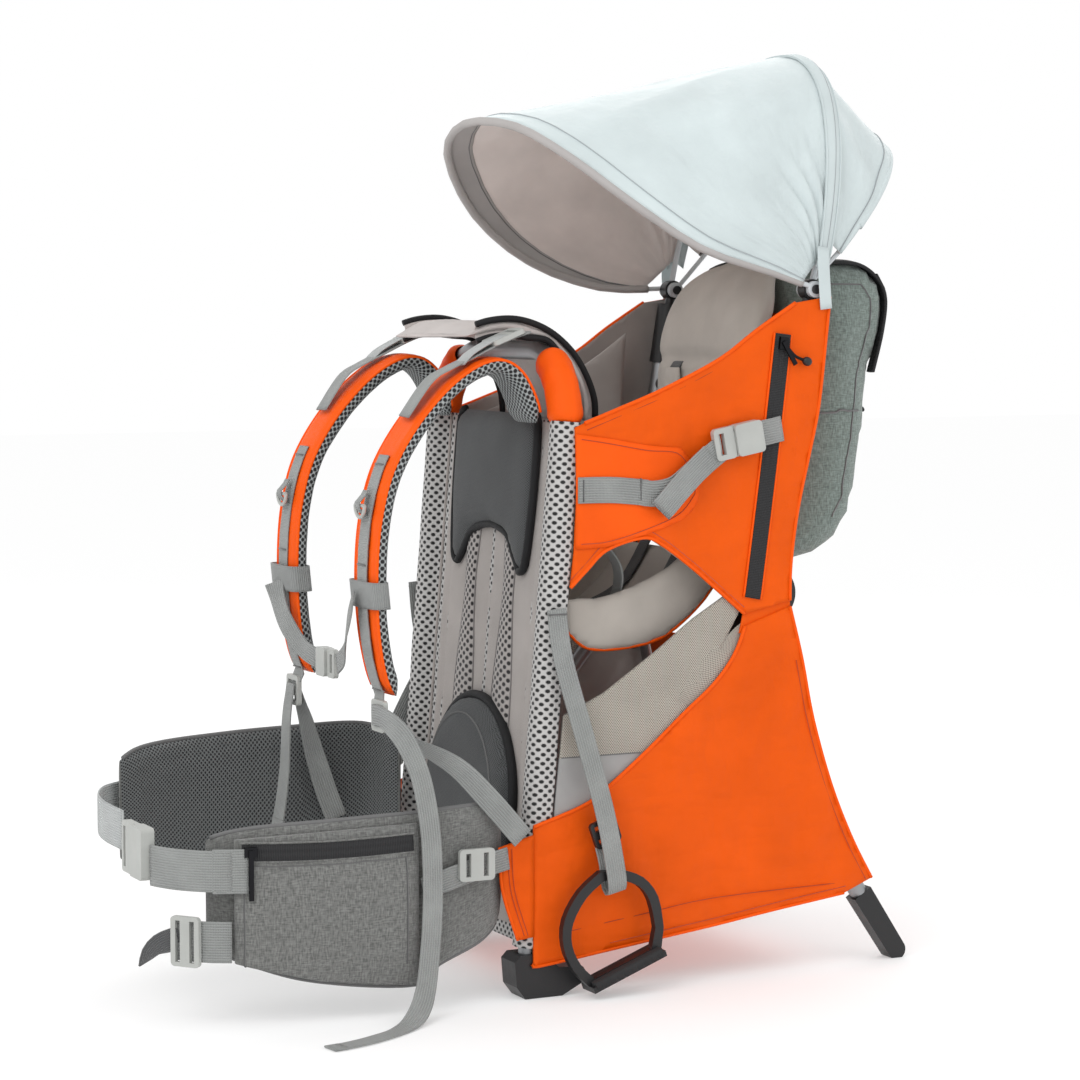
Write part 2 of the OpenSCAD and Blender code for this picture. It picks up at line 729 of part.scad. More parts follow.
module d_ring() {
    translate([100, ring_at[0], ring_at[1]]) {
        translate([-ring_r, 0, 0]) rotate([0, 90, 0]) cylinder(h = 2 * ring_r, r = wire_r);
        rotate([-90, 0, 0]) rotate_extrude(angle = 180) translate([ring_r, 0]) circle(wire_r);
    }
}
module d_ring_left() { color(cream) centred() d_ring(); }
module d_ring_right() { color(cream) centred() mirror([1, 0, 0]) d_ring(); }

module sternum_strap() {
    a = [[102, -157.5, 385], [80, -155, 352], [54, -147, 326], [24, -142, 313]];
    b = [[-102, -157.5, 382], [-82, -155, 348], [-56, -147, 322], [-26, -142, 313]];
    color(web_grey) centred() {
        webbing(a, [0.5, 0, 1], [0, 0, 1], 20);
        webbing(b, [-0.5, 0, 1], [0, 0, 1], 20);
    }
}

// ---------- hip belt ----------

wing_line = spline([[105, -22], [132, -27], [149, -44], [157, -80], [160, -125], [158, -180],
    [151, -235], [138, -285], [122, -312]], 2);
wing_r = 7;
module wing() {
    profile = concat(spline([[-10, 176], [-44, 190], [-121, 189], [-196, 187], [-283, 182],
        [-330, 166]], 2), spline([[-330, 80], [-275, 55], [-216, 37], [-121, 26], [-96, 43],
        [-50, 60], [-10, 84]], 2));
    intersection() {
        linear_extrude(240) strip(wing_line, -wing_r, wing_r);
        side_plate(90, 100) polygon(profile);
    }
}
module hip_wings() {
    color(dark_cloth) centred() {
        wing();
        translate([0, 0, right_lift]) mirror([1, 0, 0]) wing();
    }
}

module pocket() {
    inner = [[156.5, -296], [147, -294], [150.5, -272], [160.8, -232], [166.8, -180],
        [168.6, -124]];
    profile = [[-123, 180], [-123, 29], [-216, 40], [-298, 62], [-298, 174], [-210, 178]];
    intersection() {
        linear_extrude(240) polygon(concat([pocket_face[0]], inner));
        side_plate(130, 60) polygon(profile);
    }
}
module hip_pockets() {
    color(heather) centred() {
        pocket();
        translate([0, 0, right_lift]) mirror([1, 0, 0]) pocket();
    }
}

module belt_webbing() {
    near = spline([[157.5, -300], [148, -319], [128, -339], [106, -351], [94, -355]], 2);
    low = spline([[156, -300], [146, -318], [128, -335], [116, -342]], 2);
    far = spline([[-147, -300], [-122, -328], [-80, -348], [-30, -358], [28, -359]], 2);
    stabiliser = [[161, -26, 138], [168, -70, 130], [171.5, -118, 118]];
    lifter = [[-158, 36, 287], [-158, 14, 250], [-157, -6, 212], [-157, -14, 192]];
    color(web_grey) centred() {
        translate([0, 0, 128]) linear_extrude(38) strip(near, -1.2, 1.2);
        translate([0, 0, 63]) linear_extrude(38) strip(low, -1.2, 1.2);
        translate([0, 0, 150]) linear_extrude(38) strip(far, -1.2, 1.2);
        webbing(stabiliser, [0, 0.2, 1], [0, 0.2, 1], 22);
        translate([0, 0, 30]) mirror([1, 0, 0])
            webbing(stabiliser, [0, 0.2, 1], [0, 0.2, 1], 22);
        webbing(lifter, [0, 1, 0.4], [0, 1, 0.4], 22);
    }
}

// Free ends of the shoulder webbing: the left one hangs over the pocket to the ground,
// the right one hangs inside the belt
tail_w = 20;
tail_left = [[100, -137.8, 273], [112, -138.2, 274], [126, -138, 273], [140, -135, 268],
    [153, -130, 258], [164, -125, 242], [172, -120, 222], [177, -116.5, 198],
    [180.5, -114, 170], [182, -113, 140], [182.5, -113, 110], [183, -114.5, 80],
    [185, -118, 52], [189.5, -123, 30], [198, -132, 14], [210, -146, 4.5], [223, -164, 1.2],
    [236, -185, 1.2], [247, -208, 1.2], [254, -230, 1.2], [257, -246, 1.2]];
tail_right = [[-108, -138.2, 280], [-108, -139.5, 270], [-107.5, -141.5, 259],
    [-107, -143, 248], [-106.5, -144, 237], [-106, -144.5, 226], [-106, -145, 215],
    [-106, -145.5, 204], [-106.5, -146, 193], [-107, -147, 182], [-107.5, -148, 171],
    [-108, -149.5, 160], [-108.5, -151, 150], [-109, -152.5, 140], [-109.5, -154, 130]];
module strap_tails() {
    turn = 2;
    fall = 6;
    ground = 13;
    last = len(tail_left) - 1;
    side = [for (i = [0 : last]) i < fall ?
        unit(lerp([0, 0, 1], [0, 1, 0], max(0, i - turn) / (fall - turn))) :
        i < ground ? [0, 1, 0] :
        unit(lerp([0, 1, 0], [1, 0.15, 0], (i - ground) / (last - ground)))];
    color(web_grey) centred() {
        sweep(tail_left, side, flat_section(tail_w, web_t));
        webbing(tail_right, [1, 0, 0], [1, 0.2, 0], tail_w);
    }
}

// ---------- stirrups ----------

stirrup_pivot = [24, 371];
module stirrup_ring() {
    outer = concat(spline([[62, 121], [40, 104], [24, 78], [23, 52], [34, 28], [53, 9]], 3),
        [[127, 37]], spline([[130, 62], [124, 92], [108, 112], [86, 121]], 3));
    inner = concat(spline([[66, 112], [47, 97], [33, 74], [32, 53], [41, 34], [56, 19]], 3),
        [[117, 42]], spline([[121, 62], [115, 88], [103, 104], [82, 112]], 3));
    tread = [[50, 12], [127, 41.5], [129, 36], [52, 6.5]];
    side_plate(172, 8) difference() {
        polygon(outer);
        polygon(inner);
    }
    side_plate(163, 26) polygon(tread);
    // Ladder lock of the strap
    translate([173, 69, 158]) rotate([90, 0, 90]) rotate([0, 0, -70]) ladder_lock(20, 26);
}
module stirrup_strap() {
    route = [[162.5, 24, 371], [165, 30, 323], [172, 50, 246], [180.5, 66, 178], [184, 75, 128],
        [184, 78, 106], [177, 79, 99.5], [170, 78, 106], [170, 75, 128], [171, 70, 146]];
    webbing(route, [0, 1, 0.25], [0, 1, 0.25], 20);
}
module stirrup_left() { color(black) centred() stirrup_ring(); }
module stirrup_right() { color(black) centred() mirror([1, 0, 0]) stirrup_ring(); }
module stirrup_strap_left() { color(web_grey) centred() stirrup_strap(); }
module stirrup_strap_right() { color(web_grey) centred() mirror([1, 0, 0]) stirrup_strap(); }

// ---------- canopy ----------

hinge_pin_r = 2.5;
eye_r = 8;
rear_eye_x = 130.2;
front_eye_x = 148.8;
front_eye_l = 5.2;
rear_eye_l = 5.4;
main_angle = 77;
rear_angle = 45;
rear_hoop_h = 212;

module canopy_hubs() {
    color(black) centred() both_sides() {
        difference() {
            union() {
                bar(at_x(tube_x, from_pivot(post_from + 1, rear_lean)),
                    at_x(tube_x, from_pivot(upright - 4, rear_lean)), post_r);
                x_disc(canopy_base, 136, 12.5, 10);
            }
            x_disc(canopy_base, 130, 30, hinge_pin_r);
        }
        x_disc(canopy_base, 127.5, 29.5, hinge_pin_r);
        x_disc(canopy_base, 127.5, 2.4, 4.5);
        x_disc(canopy_base, 154.3, 2.7, 4.5);
    }
}

// Point of a planar hoop at angle t from the left side: half width w, height h, leaning by a
function hoop_point(t, w, h, a) = let (x = sign(cos(t)) * w * pow(abs(cos(t)), 0.88),
        r = h * pow(sin(t), 0.88))
    [x, canopy_base[0] + r * cos(a), canopy_base[1] + r * sin(a)];
function main_hoop(t) = hoop_point(t, hoop_w, hoop_h, main_angle);
function rear_hoop(t) = hoop_point(t, 140, rear_hoop_h, rear_angle);

module canopy_main_hoop() {
    first = 3;
    steps = 36;
    inner = tube_x + 3;
    start = canopy_base + 4 * [cos(main_angle), sin(main_angle)];
    route = concat([at_x(inner, start)],
        [for (i = [1 : steps - 1]) main_hoop(lerp(first, 180 - first, i / steps))],
        [at_x(-inner, start)]);
    color(web_grey) centred() sweep(route, [for (p = route) [0, 1, -0.2]], round_section(rod_r, 8));
}

brim = [[151.4, 306, 674], [154, 259, 688], [155, 180, 711], [148, 108, 754], [122, 58, 795],
    [74, 23, 826], [8, 1, 831], [-58, 12, 804], [-115, 68, 747], [-145, 145, 700],
    [-156, 232, 674], [-151.4, 306, 673]];
brim_line = spline(brim, 3);
function brim_point(s) = let (q = s * (len(brim_line) - 1), i = min(floor(q), len(brim_line) - 2))
    lerp(brim_line[i], brim_line[i + 1], q - i);

module eye(x, l) {
    difference() {
        x_disc(canopy_base, x, l, eye_r);
        x_disc(canopy_base, x - 1, l + 2, hinge_pin_r + pin_gap);
    }
}

module canopy_front_hoop() {
    route = brim_line;
    color(web_grey) centred() {
        for (s = [0, 1]) mirror([s, 0, 0]) eye(front_eye_x, front_eye_l);
        sweep(route, [for (p = route) [0, 0.45, 1]], round_section(2.5, 8));
    }
}

module canopy_rear_hoop() {
    steps = 32;
    first = 8;
    start = canopy_base + 6 * [cos(rear_angle), sin(rear_angle)];
    mid_eye = rear_eye_x + rear_eye_l / 2;
    route = concat([at_x(mid_eye, start)],
        [for (i = [1 : steps - 1]) rear_hoop(lerp(first, 180 - first, i / steps))],
        [at_x(-mid_eye, start)]);
    color(web_grey) centred() {
        for (s = [0, 1]) mirror([s, 0, 0]) eye(rear_eye_x, rear_eye_l);
        sweep(route, [for (p = route) [0, 1, -1]], round_section(2.5, 8));
    }
}

// A curved sheet between two lines of points: rows[i][k], thickened inwards to the middle
cover_t = 2.4;
cover_off = rod_r + 0.5;
cover_middle = [0, 250, 680];
module sheet(rows) {
    m = len(rows);
    n = len(rows[0]);
    function off(p, d) = p + d * unit(p - cover_middle);
    points = concat([for (r = rows) each [for (p = r) off(p, cover_off + cover_t)]],
        [for (r = rows) each [for (p = r) off(p, cover_off)]]);
    function id(i, k, layer) = layer * m * n + i * n + k;
    faces = concat(
        [for (i = [0 : m - 2], k = [0 : n - 2])
            [id(i, k, 0), id(i, k + 1, 0), id(i + 1, k + 1, 0), id(i + 1, k, 0)]],
        [for (i = [0 : m - 2], k = [0 : n - 2])
            [id(i + 1, k, 1), id(i + 1, k + 1, 1), id(i, k + 1, 1), id(i, k, 1)]],
        [for (k = [0 : n - 2]) [id(0, k + 1, 0), id(0, k, 0), id(0, k, 1), id(0, k + 1, 1)]],
        [for (k = [0 : n - 2])
            [id(m - 1, k, 0), id(m - 1, k + 1, 0), id(m - 1, k + 1, 1), id(m - 1, k, 1)]],
        [for (i = [0 : m - 2]) [id(i, 0, 0), id(i + 1, 0, 0), id(i + 1, 0, 1), id(i, 0, 1)]],
        [for (i = [0 : m - 2])
            [id(i + 1, n - 1, 0), id(i, n - 1, 0), id(i, n - 1, 1), id(i + 1, n - 1, 1)]]);
    polyhedron(points, faces);
}

cover_rows = 6;
cover_cols = 24;
seam = 0.02;
module canopy_front_cover() {
    color(canopy_grey) centred() sheet([for (i = [0 : cover_rows]) [for (k = [0 : cover_cols])
        let (s = lerp(0.06, 0.94, k / cover_cols))
            lerp(main_hoop(180 * s), brim_point(s), lerp(seam, 0.955, i / cover_rows))]]);
}

module canopy_rear_cover() {
    color(canopy_grey) centred() sheet([for (i = [cover_rows : -1 : 0]) [for (k = [0 : cover_cols])
        let (s = lerp(0.08, 0.92, k / cover_cols))
            lerp(main_hoop(180 * s), rear_hoop(180 * s), lerp(seam, 1, i / cover_rows))]]);
}

front_frame_tube();
rear_frame_tubes();
seat_support_tubes();
cross_bars();
stand_hinge_hubs();
stand_hinge_pins();
front_feet();
canopy_sockets();
stand_knuckles();
stand_tubes();
stand_feet();
storage_rear_panel();
storage_floor();
side_panels_upper();
side_panels_lower();
side_tabs();
side_linings();
mesh_gussets();
front_mesh_panel();
front_top_sleeves();
chest_pad();
upper_back_pad();
lumbar_pad();
seat_sling();
seat_back_pad();
child_harness();
rear_panel();
rear_bag();
zip_tapes();
zip_slider_left();
zip_slider_right();
pocket_slider_left();
pocket_slider_right();
bag_slider();
side_straps();
side_buckle_tongue_left();
side_buckle_tongue_right();
shoulder_pads();
shoulder_webbing();
strap_locks();
d_ring_left();
d_ring_right();
sternum_strap();
sternum_tongue();
hip_wings();
hip_pockets();
belt_webbing();
belt_tongue();
buckle_sockets();
strap_tails();
stirrup_left();
stirrup_strap_left();
stirrup_right();
stirrup_strap_right();
canopy_hubs();
canopy_main_hoop();
canopy_front_hoop();
canopy_rear_hoop();
canopy_front_cover();
canopy_rear_cover();
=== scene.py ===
"""Looks of the baby carrier backpack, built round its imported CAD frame.

Lengths are given in millimetres, as in part.scad, with y = 0 at the front feet: P() turns such a
point into metres in the shared frame. Soft pieces replace their plain CAD solids.
"""

import math

import bmesh
import bpy
import numpy as np
from mathutils import Matrix, Vector, noise
from mathutils.kdtree import KDTree


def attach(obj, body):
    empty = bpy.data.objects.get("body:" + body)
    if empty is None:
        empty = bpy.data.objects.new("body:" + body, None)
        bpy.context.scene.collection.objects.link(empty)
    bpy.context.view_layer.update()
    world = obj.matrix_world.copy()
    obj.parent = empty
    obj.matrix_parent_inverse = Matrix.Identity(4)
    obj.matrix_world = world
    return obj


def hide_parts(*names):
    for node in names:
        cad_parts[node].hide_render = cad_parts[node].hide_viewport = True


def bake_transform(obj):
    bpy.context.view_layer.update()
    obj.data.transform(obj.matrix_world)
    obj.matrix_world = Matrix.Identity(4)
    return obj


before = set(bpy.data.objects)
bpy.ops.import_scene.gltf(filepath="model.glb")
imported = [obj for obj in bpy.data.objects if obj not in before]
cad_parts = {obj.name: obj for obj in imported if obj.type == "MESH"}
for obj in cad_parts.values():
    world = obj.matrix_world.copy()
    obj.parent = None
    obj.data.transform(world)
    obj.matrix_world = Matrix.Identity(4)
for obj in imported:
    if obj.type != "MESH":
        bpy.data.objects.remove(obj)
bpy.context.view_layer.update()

MM = 0.001
SIDES = ((1, "left"), (-1, "right"))
ORIGIN_Y = 50.5
TUBE_X = 141.0
FOOT_Y, FOOT_Z, FRONT_LEAN = 2.0, 24.0, math.radians(4.6)
PIVOT_Y, PIVOT_Z, REAR_LEAN = 262.0, 375.0, math.radians(9.2)
STAND_LEAN = math.radians(14)
CANOPY_BASE = (PIVOT_Y + 300 * math.sin(REAR_LEAN), PIVOT_Z + 300 * math.cos(REAR_LEAN))


def P(x, y, z):
    return Vector((x * MM, (y - ORIGIN_Y) * MM, z * MM))


def points(values):
    return [P(*v) for v in values]


def front_plane(across, up, out=0.0):
    """Point in the leaning plane of the front frame; out is towards the wearer."""
    y = FOOT_Y + up * math.sin(FRONT_LEAN) - out * math.cos(FRONT_LEAN)
    z = FOOT_Z + up * math.cos(FRONT_LEAN) + out * math.sin(FRONT_LEAN)
    return P(across, y, z)


def from_pivot(d, lean):
    return (PIVOT_Y + d * math.sin(lean), PIVOT_Z + d * math.cos(lean))


# ---------- curves ----------


def spline(pts, steps):
    """Catmull-Rom curve through pts, with steps between two of them."""
    p = [np.array(q, float) for q in pts]
    m = len(p) - 1
    out = []
    for i in range(m):
        a, b, c, d = p[max(i - 1, 0)], p[i], p[i + 1], p[min(i + 2, m)]
        for k in range(steps):
            t = k / steps
            out.append(
                0.5 * (2 * b + (c - a) * t + (2 * a - 5 * b + 4 * c - d) * t * t
                       + (3 * b - a - 3 * c + d) * t ** 3)
            )
    return np.array([*out, p[m]])


def lengths(line):
    """Distance along a polyline at each of its points."""
    line = np.asarray(line, float)
    return np.concatenate([[0], np.cumsum(np.linalg.norm(np.diff(line, axis=0), axis=1))])


def resample(line, count):
    """The same line with points an even distance apart."""
    line = np.asarray(line, float)
    s = lengths(line)
    t = np.linspace(0, s[-1], count)
    return np.stack([np.interp(t, s, line[:, k]) for k in range(line.shape[1])], 1)


def directions(line):
    line = np.asarray(line, float)
    d = np.gradient(line, axis=0)
    return d / np.linalg.norm(d, axis=1)[:, None]


def power(x, p):
    """x to the power p, with its sign kept: squares off a circle's cosine and sine."""
    return math.copysign(abs(x) ** p, x)


def peak(d, width):
    """A smooth bump: 1 at d = 0, next to nothing two widths away."""
    return math.exp(-(d / width) ** 2)


def fade(f, width, least):
    """Rounded rise from least to 1 while f goes from 0 to width."""
    return math.sqrt(max(least, min(1, f / width)))


def smoothstep(x, lo, hi):
    t = np.clip((x - lo) / (hi - lo), 0, 1)
    return t * t * (3 - 2 * t)


# ---------- meshes ----------


def make(name, verts, faces, uvs=None, indices=None, mats=(), body="frame", smooth=True,
         slot=None, replaces=()):
    """A mesh object that rides on a body. uvs is one pair per face corner, in metres."""
    mesh = bpy.data.meshes.new(name)
    mesh.from_pydata([tuple(v) for v in verts], [], [tuple(int(i) for i in f) for f in faces])
    if uvs is not None:
        layer = mesh.uv_layers.new(name="UVMap")
        layer.data.foreach_set("uv", np.asarray(uvs, np.float32).ravel())
    for m in mats:
        mesh.materials.append(L[m])
    if indices is not None:
        mesh.polygons.foreach_set("material_index", list(indices))
    mesh.polygons.foreach_set("use_smooth", [smooth] * len(mesh.polygons))
    mesh.update()
    obj = bpy.data.objects.new(name, mesh)
    bpy.context.scene.collection.objects.link(obj)
    finish_piece(obj, body, replaces)
    return obj


def finish_piece(obj, body, replaces):
    if body:
        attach(obj, body)
    if replaces:
        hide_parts(*replaces)


def grid(name, rows, closed=False, caps=False, index=None, **rest):
    """A surface through rows[i][k]; closed joins each row's ends, caps fills the two end rows.
    index(i, k) gives a quad's material."""
    rows = np.array([[tuple(p) for p in r] for r in rows], float)
    m, n = rows.shape[:2]
    along = np.concatenate([[0], np.cumsum(np.linalg.norm(np.diff(rows, axis=0), axis=2).mean(1))])
    ring = np.concatenate([rows[m // 2], rows[m // 2][:1]]) if closed else rows[m // 2]
    across = lengths(ring)
    faces, uvs, idx = [], [], []
    for i in range(m - 1):
        for k in range(n if closed else n - 1):
            j = (k + 1) % n
            faces.append((i * n + k, i * n + j, (i + 1) * n + j, (i + 1) * n + k))
            for a, b in ((i, k), (i, k + 1), (i + 1, k + 1), (i + 1, k)):
                uvs.append((across[b], along[a]))
            idx.append(index(i, k) if index else 0)
    if caps:
        for i, order in ((0, range(n - 1, -1, -1)), (m - 1, range(n))):
            faces.append([i * n + k for k in order])
            uvs += [tuple((rows[i, k] - rows[i, 0])[:2]) for k in order]
            idx.append(index(min(i, m - 2), 0) if index else 0)
    return make(name, rows.reshape(-1, 3), faces, uvs, idx, **rest)


def section(width, thick, square=6.0, count=12):
    """A closed round-cornered outline, width across by thick out."""
    out = []
    for k in range(count):
        a = 2 * math.pi * (k + 0.5) / count
        c, s = math.cos(a), math.sin(a)
        out.append((width / 2 * power(c, 2 / square), thick / 2 * power(s, 2 / square)))
    return out


def sweep(name, route, side, shape, **rest):
    """A solid along route (metres): across lies along side[i] and out is square to both."""
    route = np.array([tuple(p) for p in route], float)
    run = directions(route)
    side = np.array([tuple(s) for s in side], float)
    rows = []
    for p, t, s in zip(route, run, side):
        o = np.cross(s, t)
        o /= np.linalg.norm(o)
        a = np.cross(t, o)
        rows.append([p + (x * a + y * o) * MM for x, y in shape])
    return grid(name, rows, closed=True, caps=True, **rest)


def turning(a, b, count):
    a, b = np.array(a, float), np.array(b, float)
    return [a + (b - a) * i / (count - 1) for i in range(count)]


def strap(name, route, a, b, width, look="webbing", thick=1.8, slot="webbing", **rest):
    """Webbing through route (mm, design frame), its width turning from direction a to b."""
    line = spline(points(route), 6)
    line = resample(line, max(8, int(lengths(line)[-1] / 0.006)))
    return sweep(name, line, turning(a, b, len(line)), section(width, thick), mats=[look],
                 slot=slot, **rest)


def tube(name, route, r, look, count=10, **rest):
    """A round tube of radius r mm along route (metres)."""
    route = np.array([tuple(p) for p in route], float)
    run = directions(route)
    up = np.array([0.31, 0.23, 0.92])
    rows = []
    for p, t in zip(route, run):
        a = np.cross(t, up)
        a /= np.linalg.norm(a)
        b = np.cross(t, a)
        rows.append([p + r * MM * (math.cos(w) * a + math.sin(w) * b)
                     for w in np.linspace(0, 2 * math.pi, count, endpoint=False)])
    return grid(name, rows, closed=True, caps=True, mats=[look], **rest)


def solid_copy(node, keep=None):
    """A bmesh of a CAD node's solids, or of those whose centre keep() accepts."""
    bm = bmesh.new()
    bm.from_mesh(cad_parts[node].data)
    bmesh.ops.remove_doubles(bm, verts=bm.verts, dist=1e-6)
    if keep:
        left = set(bm.verts)
        while left:
            island, queue = set(), [next(iter(left))]
            while queue:
                v = queue.pop()
                if v not in island:
                    island.add(v)
                    queue += [e.other_vert(v) for e in v.link_edges]
            left -= island
            centre = sum((v.co for v in island), Vector()) / len(island)
            if not keep(centre):
                bmesh.ops.delete(bm, geom=list(island), context="VERTS")
    return bm


def cut(bm, step, axes):
    """Cuts every face where it crosses planes step metres apart, so that it can bend."""
    bmesh.ops.dissolve_limit(bm, angle_limit=0.03, verts=bm.verts[:], edges=bm.edges[:])
    co = np.array([v.co for v in bm.verts])
    for axis in axes:
        lo, hi = co[:, axis].min(), co[:, axis].max()
        n = max(1, round((hi - lo) / step))
        for c in np.linspace(lo, hi, n + 1)[1:-1]:
            where = Vector((0, 0, 0))
            where[axis] = c + 1.3e-5
            normal = Vector((0, 0, 0))
            normal[axis] = 1
            bmesh.ops.bisect_plane(bm, geom=bm.verts[:] + bm.edges[:] + bm.faces[:],
                                   dist=1e-6, plane_co=where, plane_no=normal)


def to_object(bm, name, mats, uv, index=None, body="frame", replaces=()):
    """Finishes a bmesh: uv(co, normal) in metres, index(centre, normal) the material."""
    bm.normal_update()
    layer = bm.loops.layers.uv.verify()
    for f in bm.faces:
        f.smooth = True
        if index:
            f.material_index = index(f.calc_center_median(), f.normal)
        for loop in f.loops:
            loop[layer].uv = uv(loop.vert.co, f.normal)
    mesh = bpy.data.meshes.new(name)
    bm.to_mesh(mesh)
    bm.free()
    for m in mats:
        mesh.materials.append(L[m])
    obj = bpy.data.objects.new(name, mesh)
    bpy.context.scene.collection.objects.link(obj)
    finish_piece(obj, body, replaces)
    return obj


def uv_side(co, normal):
    return (co.y, co.z) if abs(normal.x) > 0.4 else (co.x + co.y, co.z)


def uv_front(co, normal):
    return (co.x, co.z) if abs(normal.x) < 0.8 else (co.y, co.z)


def thicken(obj, thickness, offset=0, **more):
    """Gives a surface the thickness of its cloth in metres: offset -1 is all inwards."""
    m = obj.modifiers.new("cloth", "SOLIDIFY")
    for k, v in {"thickness": thickness, "offset": offset, **more}.items():
        setattr(m, k, v)
    bpy.context.view_layer.update()
    graph = bpy.context.evaluated_depsgraph_get()
    mesh = bpy.data.meshes.new_from_object(obj.evaluated_get(graph))
    obj.modifiers.clear()
    obj.data = mesh


def inflate(obj, pressure, frames, cap):
    """Swells a closed mesh with cloth, moving no point further than cap."""
    rest = np.array([v.co for v in obj.data.vertices])
    cloth = obj.modifiers.new("cloth", "CLOTH")
    s = cloth.settings
    s.quality = 4
    s.mass = 0.25
    s.tension_stiffness = s.compression_stiffness = 12
    s.shear_stiffness = 6
    s.bending_stiffness = 0.6
    s.use_pressure = True
    s.uniform_pressure_force = pressure
    s.effector_weights.gravity = 0
    cloth.collision_settings.use_collision = False
    scene = bpy.context.scene
    for f in range(1, frames + 1):
        scene.frame_set(f)
    graph = bpy.context.evaluated_depsgraph_get()
    done = obj.evaluated_get(graph).to_mesh()
    moved = np.array([v.co for v in done.vertices]) - rest
    obj.modifiers.clear()
    scene.frame_set(1)
    size = np.linalg.norm(moved, axis=1)
    keep = cap * np.tanh(size / cap) / np.maximum(size, 1e-9)
    obj.data.vertices.foreach_set("co", (rest + moved * keep[:, None]).ravel())
    obj.data.update()


def wrinkle(co, scale, seed=0.0, stretch=(1, 1, 1)):
    """Smooth noise from -1 to 1 at a point, features about scale metres across."""
    q = Vector((co[0] * stretch[0], co[1] * stretch[1], co[2] * stretch[2])) / scale
    return noise.noise(q + Vector((seed, seed * 1.7, -seed)))


def snapped(obj, line, lift=0.4):
    """The line (metres) moved on to obj's surface, lift mm outside it."""
    out = []
    for p in line:
        _, co, normal, _ = obj.closest_point_on_mesh(Vector(p))
        out.append(co + normal * lift * MM)
    return out


# ---------- materials ----------


